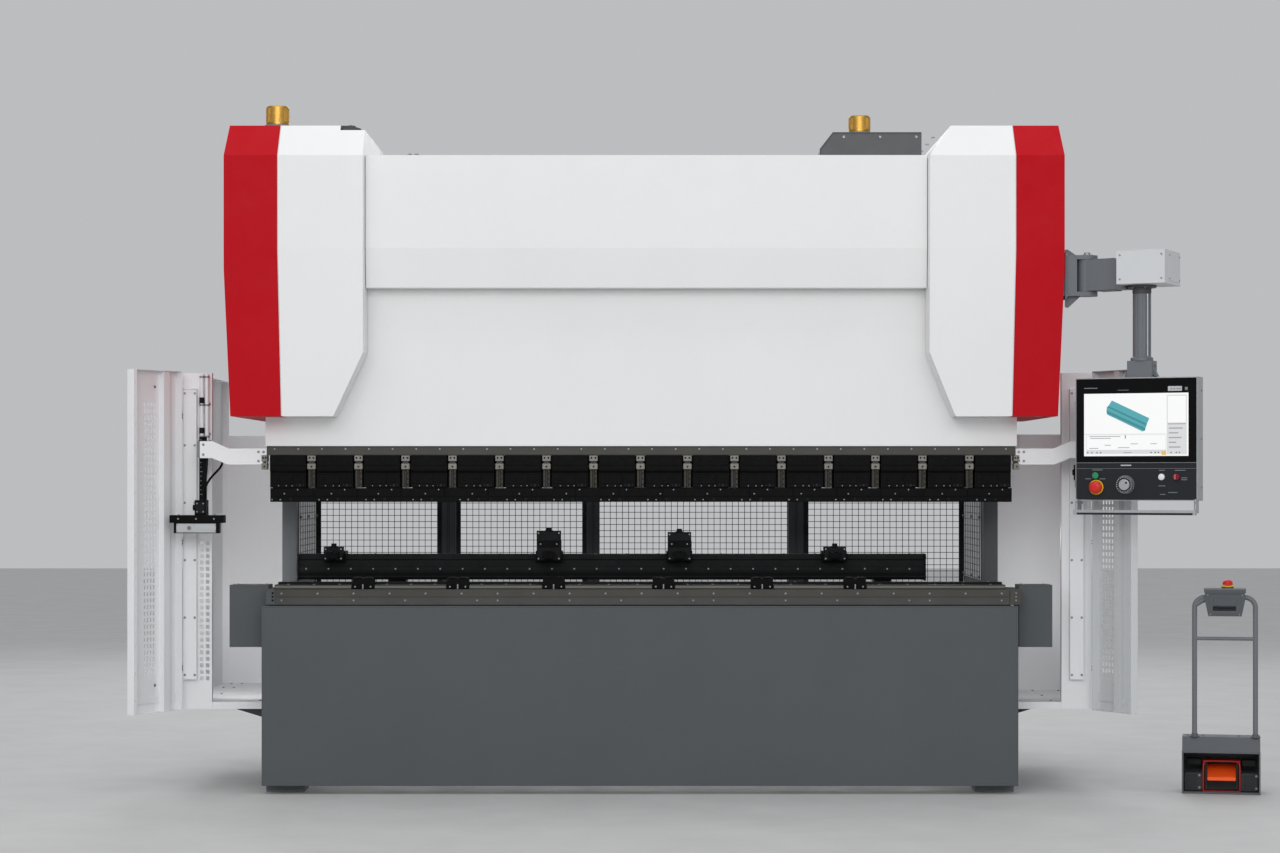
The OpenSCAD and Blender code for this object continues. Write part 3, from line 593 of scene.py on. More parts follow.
# ------------------------------------------------------------------ wire mesh at its real pitch
def wire_panel(g, x0, x1, z0, z1, y, pitch=30.0, r=1.5, frame_w=22, mi=0):
    nx = max(2, round((x1 - x0 - 2 * frame_w) / pitch))
    nz = max(2, round((z1 - z0 - 2 * frame_w) / pitch))
    for i in range(nx + 1):
        xx = x0 + frame_w + (x1 - x0 - 2 * frame_w) * i / nx
        g.lathe((xx, y - r, z0 + frame_w * 0.5), "z", [(0, r), (z1 - z0 - frame_w, r)], 6, mi)
    for j in range(nz + 1):
        zz = z0 + frame_w + (z1 - z0 - 2 * frame_w) * j / nz
        g.lathe((x0 + frame_w * 0.5, y + r * 0.8, zz), "x", [(0, r), (x1 - x0 - frame_w, r)], 6, mi)
    for a, b, c, d in ((x0, x1, z0, z0 + frame_w), (x0, x1, z1 - frame_w, z1), (x0, x0 + frame_w, z0 + frame_w, z1 - frame_w), (x1 - frame_w, x1, z0 + frame_w, z1 - frame_w)):
        g.box(a, b, y - 2.4, y + 2.4, c, d, 0.8, mi)


g = Geo()
for a, b in ((-1565, -956), (-890, -255), (790, 1565)):
    wire_panel(g, a + 1, b - 1, 701, 1699, 602.5)
    for zz in (760, 1200, 1640):
        for xx in (a + 12, b - 12):
            g.hexbolt((xx, 600.2, zz), "-y", 6, 5, mi=0)
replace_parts(g.make("guard_mesh_fixed", [MESH], "machine"), "rear_guard_panels")

g = Geo()
wire_panel(g, -225, 735, 690, 1710, 624.5)
for z in (800, 1560):
    g.box(733, 757, 622, 627, z + 31, z + 66, 0.8)
    g.lathe((760, 634, z + 31), "z", [(0, 7.2), (0.8, 8), (34.2, 8), (35, 7.2), (35, 4.3), (0, 4.3), (0, 7.2)], 24, cap=(False, False))
g.tube([(-208, 627, 1150), (-208, 652, 1156), (-208, 654, 1200), (-208, 652, 1244), (-208, 627, 1250)], 6, 12, smooth=2)
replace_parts(g.make("guard_mesh_door", [MESH], "door_rear"), "rear_guard_door")

# rear posts: channel groove and bolts, front and back
g = Geo()
for a, b in ((-956, -890), (-255, -195), (715, 790)):
    m = (a + b) / 2
    g.box(m - 2.2, m + 2.2, 558.6, 560.4, 640, 2530, 0.5, mi=0)
    g.box(a + 3, m - 6, 558.8, 560.4, 705, 1695, 0.6, mi=0)
    g.box(m + 6, b - 3, 558.8, 560.4, 705, 1695, 0.6, mi=0)
    for z in (670, 730, 1670, 1730, 2510, 2570):
        g.hexbolt((m, 559, z), "-y", 8, 7, mi=1)
        g.hexbolt((m, 619.8, z), "y", 8, 7, mi=1)
for xx in range(-1500, 1501, 300):
    for z in (670, 1730, 2570):
        g.hexbolt((xx, 619.8, z), "y", 7, 6, mi=1)
g.make("rear_post_fittings", [FRAME, BOLT], "machine")

# ------------------------------------------------------------------ covers: seam beads, roof fittings, side screws
g = Geo()
for xs, sh in ((-1546.5, -14), (1604.5, 14)):
    g.tube([(xs, -833.4, 1649), (xs + sh, -850.8, 2370), (xs + sh, -850.8, 2770), (xs + sh, -735.4, 2912.6), (xs + sh, 246, 2912.6)], 1.7, 6, smooth=0)
g.make("cover_seam_beads", [LIGHT], "machine")

g = Geo()
g.prism([(-1299, 2911.5), (-1299, 2906), (-1291, 2891), (-1214, 2891), (-1214, 2899), (-1234, 2905), (-1240, 2911.5)], "y", -736, 240, 0)
for y in (-700, -400, -100, 180):
    g.hexbolt((-1262, y, 2911), "z", 9, 7, mi=1)
g.box(-1186, 1240, -58, -50.5, 2781.2, 2800, 1.5, mi=2)
for x in (-1002, -972):
    g.hexbolt((x, -735, 2781.5), "z", 10, 8, mi=1)
for x in (-1100, -500, 300, 740):
    g.lathe((x, -300, 2781), "z", [(0, 22), (5, 22), (6, 13), (11, 12), (12, 12)], 24, mi=1)
    for s in (-1, 1):
        g.tube([(x + s * 17, -300, 2794), (x + s * 18, -300, 2810), (x, -300, 2821)], 4.5, 10, mi=1, smooth=2)
    g.box(x - 21, x + 21, -306, -294, 2791, 2799, 2.5, mi=1)
g.make("roof_fittings", [DARKGREY, BOLT, WHITE], "machine")

g = Geo()
for xo, s in ((-1793, -1), (1829, 1)):
    for z in (1700, 1960, 2220):
        o = xo - s * 26 * max(0, (2275 - z)) / 629.0
        for y in (228, 20, -220):
            g.hexbolt((o, y, z), "x" if s > 0 else "-x", 7, 5)
    for z in (2400, 2640):
        for y in (228, 20, -220):
            g.hexbolt((xo, y, z), "x" if s > 0 else "-x", 7, 5)
for x in (-1700, -1480, -1260, 1320, 1520, 1760):
    for y in (215, -40, -300):
        g.hexbolt((x, y, 2912), "z", 7, 5)
g.make("cover_screws", [BOLT], "machine")

# box on the roof: rim, screws and a blanked gland
g = Geo()
g.prism([(793, 2781.3), (793, 2832), (851, 2906.5), (1243, 2906.5), (1243, 2902.5), (853.5, 2902.5), (798.5, 2829.5), (798.5, 2781.3)], "y", -553, -546, 0)
for x in (830, 1040, 1220):
    g.screw((x, -550, 2800), "-y", 6, 3, mi=1)
for x in (900, 1060, 1220):
    g.screw((x, -550, 2886), "-y", 6, 3, mi=1)
    g.hexbolt((x, -90, 2903), "z", 7, 5, mi=1)
g.cyl((798, -300, 2812), "-x", 14, 10, 20, mi=2)
g.hexbolt((790, -300, 2812), "-x", 12, 14, mi=2)
g.make("roof_box_fittings", [FRAME, BOLT, RUBBER], "machine")

g = Geo()
for x, y, z, r, h in ((-1586, -650, 2912, 50, 93), (975, -470, 2903, 48, 84)):
    g.lathe((x, y, z), "z", [(0, r * 1.16), (7, r * 1.16), (9.5, r * 1.12), (12, r * 1.03), (12, r * 0.95)], 40, mi=0)
    for k in range(6):
        a = k * math.pi / 3 + 0.3
        g.hexbolt((x + math.cos(a) * r * 1.06, y + math.sin(a) * r * 1.06, z + 9), "z", 2.6, 3.4, mi=2)
    for k in range(48):
        a = k * math.pi / 24
        M = Matrix.Translation((x, y, z)) @ Matrix.Rotation(a, 4, "Z")
        g.box(r - 0.6, r + 0.7, -1.6, 1.6, 22, h - 10, 0.5, mi=1, M=M)
    g.lathe((x, y, z + h - 1.0), "z", [(0, r * 0.72), (0.9, r * 0.7), (0.9, r * 0.5), (0.2, r * 0.47)], 32, mi=1)
g.make("cap_details", [FOOT, BRASS, BOLT], "machine")

# ------------------------------------------------------------------ boom, swivel box and post
g = Geo()
g.box(52, 150, -42.6, 42.6, 2318.6, 2322.2, 1, M=BOOM)
g.box(60, 148, -36, 36, 2183.4, 2187.4, 1, M=BOOM)
for x in (66, 138):
    for y in (-26, 26):
        g.screw((x, y, 2322.2), "z", 4, 1.6, mi=1, M=BOOM)
g.lathe((1935, -790, 2341), "z", [(0, 26), (3, 26), (5, 22)], 30, mi=1)
g.hexbolt((1935, -790, 2345.5), "z", 13, 10, mi=1)
g.make("boom_fittings", [ARM, BOLT], "boom")

g = Geo()
g.prism([(1668, 2165), (1668, 2128), (1676, 2124), (1684, 2124), (1760, 2165)], "y", -826, -820)
g.prism([(1668, 2165), (1668, 2128), (1676, 2124), (1684, 2124), (1760, 2165)], "y", -760, -754)
g.prism([(1838, 2166), (1838, 2120), (1846, 2116), (1852, 2116), (1906, 2166)], "y", -800, -794)
g.prism([(1838, 2340), (1838, 2366), (1846, 2368), (1852, 2366), (1890, 2340)], "y", -800, -794)
g.box(1832, 1838, -848, -734, 2150, 2355, 2)
for z in (2164, 2341):
    for y in (-841, -741):
        g.hexbolt((1838, y, z), "x", 5, 5, mi=1)
for z in (2200, 2306):
    for y in (-570, -490):
        g.hexbolt((1690, y, z), "x", 9, 8, mi=1)
g.make("bracket_fittings", [ARM, BOLT], "machine")

g = Geo()
g.box(-105.6, 105.6, -125.6, 125.6, -0.8, 5, 1.5, M=SWIVEL)
g.box(-105.2, 105.2, -125.2, 125.2, 139, 142.4, 1.5, M=SWIVEL)
g.box(104, 106, -62, 118, 12, 132, 2, M=SWIVEL)
for x in (-90, 90):
    for z in (20, 122):
        g.screw((x, -124.6, z), "-y", 4, 2.4, mi=1, M=SWIVEL)
for y in (-108, 0, 108):
    for x in (-90, 90):
        g.screw((x, y, 142), "z", 4, 2.4, mi=1, M=SWIVEL)
for y in (-52, 108):
    for z in (22, 122):
        g.screw((105.6, y, z), "x", 4, 2.4, mi=1, M=SWIVEL)
g.make("swivel_box_details", [LIGHT, BOLT], "boom")

g = Geo()
P = Matrix.Translation((2143, -950, 0)) @ Matrix.Rotation(math.radians(-26), 4, "Z")
g.lathe((0, 0, 2166), "z", [(0, 37), (2, 40), (22, 40), (24, 44), (25, 60), (27, 62), (35.5, 62), (36.5, 60)], 40, mi=3, M=P)
for k in range(6):
    a = k * math.pi / 3
    g.hexbolt((math.cos(a) * 52, math.sin(a) * 52, 2191), "-z", 4, 4, mi=1, M=P)
for a in (-118, -62, 62, 118, 0, 180):
    R = P @ Matrix.Rotation(math.radians(a), 4, "Z")
    g.box(34.6, 38.6, -7, 7, 1881, 2166, 1.4, mi=0, M=R)
R = P @ Matrix.Rotation(math.radians(-34), 4, "Z")
g.box(35, 39.6, -3.5, 3.5, 1881, 2166, 1.0, mi=2, M=R)
g.box(-60, 60, -43, 43, 1806.5, 1812, 1.5, mi=0, M=P)
g.lathe((0, 0, 1878), "z", [(0, 46), (3, 48), (14, 48), (18, 40), (24, 38)], 36, mi=0, M=P)
for s in (-1, 1):
    g.box(s * 54 - 3, s * 54 + 3, -30, 30, 1816, 1872, 2, mi=0, M=P)
    for z in (1828, 1860):
        g.hexbolt((s * 57, 0, z), "x" if s > 0 else "-x", 7, 6, mi=1, M=P)
    g.prism([(s * 57, 1812), (s * 72, 1812), (s * 57, 1840)], "y", -16, 16, 0, M=P)
g.make("post_details", [ARM, BOLT, SILVER, FRAME], "pendant")

# ------------------------------------------------------------------ control panel
W2 = 264.5
g = Geo(PANEL)
for a, b, c, d in ((-W2 - 0.6, W2 + 0.6, 1803, 1807.4), (-W2 - 0.6, W2 + 0.6, 1283, 1286.4)):
    g.box(a, b, PF - 1.8, 46.2, c, d, 0.8)
for s in (-1, 1):
    g.box(s * W2 - 0.6 - (2.4 if s > 0 else 0), s * W2 + 0.6 + (2.4 if s < 0 else 0), PF - 1.8, 46.2, 1286, 1804, 0.8)
    for z in (1340, 1545, 1750):
        g.screw((s * W2 + s * 0.5, 20, z), "x" if s > 0 else "-x", 4, 2.2, mi=1)
g.box(-W2 + 16, W2 - 16, 46.2, 49, 1300, 1790, 1.2, mi=0)
for i in range(14):
    g.box(-150, 150, 48.6, 50.8, 1400 + i * 14, 1405 + i * 14, 1, mi=2)
for x in (-236, 236):
    for z in (1314, 1545, 1776):
        g.screw((x, 49, z), "y", 4.5, 2.4, mi=1)
g.box(-70, 70, 49, 62, 1640, 1760, 3, mi=2)
for s in (-1, 1):
    x = s * 258.5
    g.box(x - 4.5, x + 4.5, PF - 9, PF - 1.6, 1226, 1290, 1.6, mi=0)
    g.screw((x, PF - 9, 1276), "-y", 4, 2.2, mi=1)
    g.cyl((261.6 if s > 0 else -266.4, PF - 13, 1232.5), "x" if s > 0 else "-x", 10.2, 1.5, 24, mi=0)
g.box(-W2 + 12, W2 - 14, PF - 25.0, PF - 23.6, 1222.8, 1231.6, 1.0, mi=2)
g.make("panel_trim", [SILVER, BOLT, SLATE], "pendant")

# screen: a plain layout of a bent profile
g = Geo(PANEL)
SX0, SX1, SZ0, SZ1 = -227.0, 227.0, 1473.0, 1740.0


def su(u):
    return SX0 + (SX1 - SX0) * u


def sv(v):
    return SZ1 - (SZ1 - SZ0) * v


def pane(u0, u1, v0, v1, d, mi, c=0.3):
    g.box(su(u0), su(u1), PF - d - 0.5, PF - 0.2, sv(v1), sv(v0), c, mi)


pane(0, 1, 0, 1, 0.3, 0)
pane(0.795, 0.985, 0.03, 0.975, 0.6, 1)
pane(0.805, 0.975, 0.05, 0.47, 0.9, 0)
pane(0.805, 0.975, 0.485, 0.5, 1.0, 2)
for k in range(5):
    pane(0.815, 0.815 + (0.13, 0.09, 0.12, 0.07, 0.11)[k], 0.55 + k * 0.075, 0.57 + k * 0.075, 1.0, 2)
pane(0.0, 0.79, 0.645, 0.655, 0.7, 1)
pane(0.02, 0.79, 0.66, 0.965, 0.45, 1)
pane(0.025, 0.785, 0.665, 0.9, 0.6, 0)
for a, b, v in ((0.05, 0.35, 0.68), (0.06, 0.26, 0.71), (0.45, 0.52, 0.80), (0.2, 0.26, 0.82), (0.64, 0.7, 0.80), (0.33, 0.44, 0.86), (0.05, 0.14, 0.87)):
    pane(a, b, v, v + 0.012, 0.9, 2)
pane(0.395, 0.403, 0.665, 0.72, 1.0, 3, 0.2)
for u in (0.03, 0.07, 0.12, 0.155, 0.64, 0.68, 0.71, 0.83, 0.88, 0.91):
    pane(u, u + 0.012, 0.935, 0.955, 0.9, 3, 0.3)
pane(0.38, 0.46, 0.94, 0.952, 0.9, 2)
pane(0.745, 0.79, 0.92, 0.985, 1.0, 4)


def patch(uv, mi, d):
    g.prism([(su(u), sv(v)) for u, v in uv], "y", PF - d, PF - 0.3, mi)


patch([(0.235, 0.20), (0.27, 0.11), (0.63, 0.40), (0.605, 0.49)], 5, 1.3)
patch([(0.222, 0.215), (0.235, 0.198), (0.607, 0.488), (0.60, 0.518)], 6, 1.4)
patch([(0.222, 0.213), (0.602, 0.516), (0.592, 0.56), (0.218, 0.27)], 5, 1.3)
patch([(0.218, 0.268), (0.593, 0.558), (0.588, 0.60), (0.22, 0.312)], 6, 1.4)
patch([(0.22, 0.31), (0.588, 0.585), (0.567, 0.612), (0.225, 0.335)], 5, 1.3)
g.make("screen_face", [SCREEN, SCREEN_GREY, SCREEN_LINE, SCREEN_DARK, SCREEN_ORANGE, TEAL, TEAL_D], "pendant")

g = Geo(PANEL)
g.box(139, 199, PF - 0.9, PF - 0.2, 1748, 1768, 0.3, mi=0)
for x in (150, 163, 176, 187):
    g.box(x, x + 7, PF - 1.2, PF - 0.8, 1755, 1760, 0.2, mi=1)
g.box(212, 224, PF - 0.9, PF - 0.2, 1751, 1764, 0.3, mi=1)
g.box(-227, -168, PF - 0.9, PF - 0.2, 1762, 1765.5, 0.3, mi=1)
g.box(-80, -30, PF - 0.7, PF - 0.2, 1753, 1755, 0.2, mi=1)
g.box(-W2 + 3, W2 - 3, PF - 1.2, PF - 0.2, 1443.4, 1445.8, 0.4, mi=1)
g.box(-W2 + 3, W2 - 3, PF - 0.7, PF - 0.2, 1419.2, 1420.6, 0.3, mi=1)
g.box(-66, -20, PF - 0.9, PF - 0.2, 1431, 1436, 0.4, mi=0)
for a, b, z in ((-190, -146, 1414), (-222, -196, 1376), (-160, -134, 1376), (100, 126, 1412), (168, 214, 1412), (98, 128, 1346), (104, 128, 1310), (140, 180, 1318), (196, 222, 1372), (196, 222, 1380)):
    g.box(a, b, PF - 0.8, PF - 0.2, z - 1.5, z + 1.5, 0.4, mi=1)
g.make("panel_print", [PRINT, GREYP, SILVER], "pendant")

g = Geo(PANEL)
g.ring((-173, PF + 0.2, 1340), "-y", 31.4, 28.4, 4.6, 40, mi=0)
g.ring((-173, PF + 0.2, 1340), "-y", 29, 9, 1.2, 40, mi=0)
g.ring((-46, PF + 0.2, 1351), "-y", 39.6, 36.8, 3.2, 40, mi=1)
g.ring((-176, PF + 0.2, 1390), "-y", 16.4, 14.6, 3.6, 28, mi=2)
g.ring((112, PF + 0.2, 1384), "-y", 15.2, 13.6, 3.6, 28, mi=1)
g.ring((175, PF + 0.2, 1384), "-y", 17, 9, 1.6, 28, mi=2)
g.make("control_rings", [YELLOW, GREYP, SLATE], "pendant")

g = Geo(PANEL)
g.lathe((-173, PF - 26.4, 1340), "-y", [(0, 19.5), (1.2, 18), (2.0, 12), (2.2, 1)], 32)
for k in range(20):
    M = Matrix.Translation((-173, PF - 14, 1340)) @ Matrix.Rotation(k * math.pi / 10, 4, "Y")
    g.box(25.4, 26.8, -6, 6, -1.6, 1.6, 0.5, M=M)
g.make("estop_cap", [REDP], "estop_button")

g = Geo(PANEL)
for k in range(36):
    M = Matrix.Translation((-46, PF - 10, 1351)) @ Matrix.Rotation(k * math.pi / 18, 4, "Y")
    g.box(34.4, 36.0, -7, 7, -1.1, 1.1, 0.4, M=M)
g.ring((-46, PF - 19.3, 1351), "-y", 34.4, 23.4, 0.9, 44, mi=1)
g.lathe((-46, PF - 19.3, 1351), "-y", [(0, 24), (1.6, 23), (1.9, 20.5), (1.2, 19.5), (1.4, 1)], 40, cap=(True, True))
for k in range(24):
    M = Matrix.Translation((-46, PF - 20.2, 1351)) @ Matrix.Rotation(k * math.pi / 12, 4, "Y")
    g.box(29.4, 33.4, -0.8, 0.3, -1.3, 1.3, 0.3, mi=2, M=M)
g.lathe((-46 + 9, PF - 20.9, 1359), "-y", [(0, 5), (0.5, 4.4), (-0.2, 2.8)], 20, mi=1)
g.make("dial_knurl", [SILVER, SLATE, PRINT], "dial")

g = Geo(PANEL)
g.lathe((-176, PF - 6.8, 1390), "-y", [(0, 13), (1.2, 11.5), (1.8, 6), (1.9, 0.5)], 26)
g.make("green_button_crown", [GREENP], "start_button")
g = Geo(PANEL)
g.lathe((112, PF - 6.8, 1384), "-y", [(0, 12), (1.2, 10.5), (1.8, 6), (1.9, 0.5)], 26)
g.make("white_button_crown", [WHITEP], "reset_button")
g = Geo(PANEL)
g.lathe((175, PF - 9.3, 1384), "-y", [(0, 12.4), (0.9, 11.4), (0.9, 9.5)], 26, mi=0)
g.box(173.4, 176.6, PF - 23, PF - 20, 1374, 1394, 0.8, mi=1)
g.make("key_details", [KEY, SILVER], "key")

# ------------------------------------------------------------------ side doors and enclosures
for nm, M, ln, body in (("left", DOOR_L, 365, "door_left"), ("right", DOOR_R, 310, "door_right")):
    g = Geo(M)
    for z in (372, 700, 1010, 1320, 1630, 1832):
        for x in (20, ln - 10):
            g.screw((x, 0.2, z), "-y", 4, 2.4, mi=1)
    for z in (520, 1080, 1640):
        g.box(7, 30, -2.2, 0.2, z + 33, z + 64, 0.8, mi=0)
        for dz in (40, 57):
            g.screw((20, -2, z + dz), "-y", 3.2, 2, mi=1)
        g.ring((0, 0, z + 66), "z", 8.2, 4.2, 2.6, 20, mi=1)
    g.box(ln - 3.4, ln + 0.8, 2, 33, 356, 1848, 1.0, mi=0)
    g.box(ln - 60, ln - 30, -2.6, 0.2, 1006, 1134, 1, mi=2)
    g.tube([(ln - 45, -2, 1018), (ln - 45, -9, 1026), (ln - 45, -10, 1070), (ln - 45, -9, 1114), (ln - 45, -2, 1122)], 4, 12, mi=2, smooth=2)
    g.box(38, ln - 24, 3, 5, 392, 420, 1, mi=0)
    for z in (470, 1780):
        g.hexbolt((ln / 2, 2.4, z), "y", 5, 5, mi=1)
    # the right door's fittings take the white paint with painted shade
    g.make(nm + "_door_fittings", [WHITE_IN if nm == "left" else SHADE, BOLT, RUBBER], body)

g = Geo()
for s, x0, x1, xp0, xp1, xw in ((-1, -2030, -1970, -2035, -2032, -2033.5), (1, 1910, 1970, 2007, 2010, 2008.5)):
    for z in (505, 760, 1015, 1270, 1525, 1756):
        g.hexbolt(((x0 + x1) / 2 - 22, -476, z), "-y", 4, 4, mi=1)
        g.hexbolt(((x0 + x1) / 2 + 22, -476, z), "-y", 4, 4, mi=1)
    g.box(x0 - 1.5, x1 + 1.5, -477.5, -474, 1771, 1777.5, 1, mi=2)
    g.box(x0 + 12, x1 - 12, -474, -470.5, 494, 1766, 0.6, mi=0)
    yb = 690 if s < 0 else 246
    for y in range(-400, yb, 150):
        for z in (372, 1110, 1832):
            g.hexbolt((xp0 if s < 0 else xp1, y, z), "-x" if s < 0 else "x", 5, 4, mi=1)
    for z in (520, 1080, 1640):
        xx = -2044 if s < 0 else 2019
        g.box(xx - (0 if s < 0 else 12), xx + (12 if s < 0 else 0), -452.6, -449.5, z + 2, z + 28, 0.8, mi=0)
        for dz in (8, 22):
            g.hexbolt((xx + (7 if s < 0 else -7), -452.6, z + dz), "-y", 2.6, 2.5, mi=1)
# fittings on the lower left wall and tray
for x in (-1980, -1930, -1700):
    for y in (-380, 0, 380, 640):
        g.hexbolt((x, y, 383), "z", 5, 4, mi=1)
for x in (1680, 1840, 1960):
    for y in (-380, -100, 200):
        g.hexbolt((x, y, 383), "z", 5, 4, mi=1)
g.make("enclosure_fittings", [WHITE_IN, BOLT, SILVER], "machine")

g = Geo()
for x in (-1948, -1925):
    g.tube([(x, -464, 1545), (x, -464, 1700), (x, -464, 1842)], 9, 14, mi=0, smooth=0)
    for z, h in ((1560, 8), (1700, 8), (1825, 8)):
        g.ring((x, -464, z), "z", 10.6, 8.8, h, 20, mi=2)
for z in (1578, 1712):
    g.ring((-1948, -464, z), "z", 11.4, 8.8, 26, 20, mi=1)
    g.box(-1962, -1911, -455, -449, z - 8, z + 4, 1.5, mi=2)
g.box(-1966, -1908, -462, -449, 1535, 1549, 2, mi=2)
g.tube([(-1925, -466, 1560), (-1922, -470, 1500), (-1926, -466, 1420), (-1934, -462, 1340), (-1938, -460, 1260), (-1936, -457, 1180)], 4.5, 10, mi=1, smooth=2)
g.cyl((-1936, -449.5, 1178), "-y", 11, 12, 20, mi=1)
g.make("left_wall_conduits", [WHITE_IN, RUBBER, BOLT], "machine")

# dark bracket that carries the left tray
g = Geo()
g.box(-1880, -1632, -430, -418, 352, 378, 2, mi=0)
for y in (-424, 0, 420):
    g.prism([(-1634, 376), (-1840, 376), (-1840, 362), (-1690, 316), (-1634, 316)], "y", y - 4, y + 4, 0)
g.box(-1642, -1631, -440, 440, 320, 372, 2, mi=0)
for y in (-284, 64):
    g.prism([(1634, 376), (1840, 376), (1840, 362), (1690, 316), (1634, 316)], "y", y - 4, y + 4, 0)
g.box(1631, 1642, -300, 80, 320, 372, 2, mi=0)
for y in (-390, -30, 390):
    g.hexbolt((-1642, y, 346), "-x", 8, 7, mi=1)
for y in (-250, 34):
    g.hexbolt((1642, y, 346), "x", 8, 7, mi=1)
g.make("tray_brackets", [DARKGREY, BOLT], "machine")

# wire mesh liners on the inner faces of the side frames
g = Geo()
for s in (-1, 1):
    xi = s * 1562.5
    g.box(xi - 1.5, xi + 1.5, -76, 552, 912, 1492, 0.8, mi=1)
    for i in range(8):
        y = -70 + i * 88.0
        g.lathe((xi - s * 5, y, 914), "z", [(0, 1.5), (576, 1.5)], 6, 0)
    for j in range(20):
        g.lathe((xi - s * 6.5, -75, 920 + j * 29.8), "y", [(0, 1.5), (626, 1.5)], 6, 0)
    for y in (-60, 240, 540):
        for z in (925, 1200, 1478):
            g.hexbolt((xi - s * 1.5, y, z), "-x" if s > 0 else "x", 6, 9, mi=2)
g.make("frame_liners", [MESH, WHITE_IN, BOLT], "machine")

# ------------------------------------------------------------------ side frames, bed, feet
g = Geo()
for s in (-1, 1):
    a = "x" if s > 0 else "-x"
    for y, z in ((-540, 120), (540, 120), (-540, 600), (540, 600), (540, 2560), (-540, 2560), (0, 2590), (540, 1800), (-540, 1800)):
        g.hexbolt((s * 1630, y, z), a, 14, 10, mi=1)
    g.ring((s * 1630, 250, 1500), a, 96, 90.5, 3, 40, mi=0)
    for y in (-480, -560):
        for z in (700, 760):
            g.hexbolt((s * (1634 if s < 0 else 1668), y, z), a, 6, 5, mi=1)
g.make("frame_bolts", [DARKGREY, BOLT], "machine")

g = Geo()
for x in (-1560, 1560):
    for y in (-520, 520):
        o = 1 if x > 0 else -1
        g.lathe((x + o * 42, y, 37), "z", [(0, 22), (4, 22), (5, 18)], 28, mi=1)
        g.hexbolt((x + o * 42, y, 41), "z", 15, 12, mi=1)
        g.box(x - 84, x + 84, y - 69, y + 69, 0.6, 6, 1.5, mi=2)
        g.ring((x - o * 45, y, 36.6), "z", 19, 11.4, 2.4, 32, mi=1)
g.make("foot_bolts", [FOOT, BOLT, RUBBER], "machine")

# bed front: edge beads and joints of the folded sheet
g = Geo()
g.box(-1649, 1649, -701.2, -699.6, 816, 821.6, 0.7, mi=0)
g.box(-1649, 1649, -701.2, -699.6, 37.6, 43, 0.7, mi=0)
for x in (-1646.5, 1646.5):
    g.box(x - 3.4, x + 3.4, -701.2, -699.6, 43, 816, 0.7, mi=0)
for x in (-1640, 1640):
    for z in (90, 330, 570, 780):
        g.hexbolt((-1650 if x < 0 else 1650, -655, z), "-x" if x < 0 else "x", 5, 4, mi=1)
g.make("bed_front_edges", [GREY, BOLT], "machine")

g = Geo()
for x0, x1 in ((-1806, -1634), (1668, 1814)):
    g.box(x0 + 1, x1 - 1, -593.2, -591.6, 903.5, 908.5, 0.6, mi=0)
    g.box(x0 + 1, x1 - 1, -593.2, -591.6, 636.5, 641, 0.6, mi=0)
    for x in (x0 + 22, x1 - 22):
        for y in (-570, -480):
            g.screw((x, y, 909), "z", 5, 2.4, mi=1)
g.make("wing_details", [GREY, BOLT], "machine")

# ------------------------------------------------------------------ laser arms and heads
g = Geo()
for s, off in ((-1, 0), (1, 10)):
    def X(v):
        return s * (v) + off
    for x in (1650, 1672):
        for z in (1454, 1494):
            g.hexbolt((X(x), -640, z), "-y", 4.5, 4, mi=1)
    g.prism([(X(1807), 1441.5), (X(1877), 1469.5), (X(1877), 1476), (X(1807), 1448)], "y", -642, -639.6, 0)
    g.prism([(X(1807), 1507), (X(1877), 1539), (X(1877), 1532.5), (X(1807), 1500.5)], "y", -642, -639.6, 0)
    for z in (1482, 1526):
        g.hexbolt((X(1914), -640, z), "-y", 4.5, 4, mi=1)
    g.box(X(1940), X(1929), -636, -594, 1470, 1538, 2, mi=2)
g.make("arm_fittings", [WHITE_IN, BOLT, GREYP], "ram")


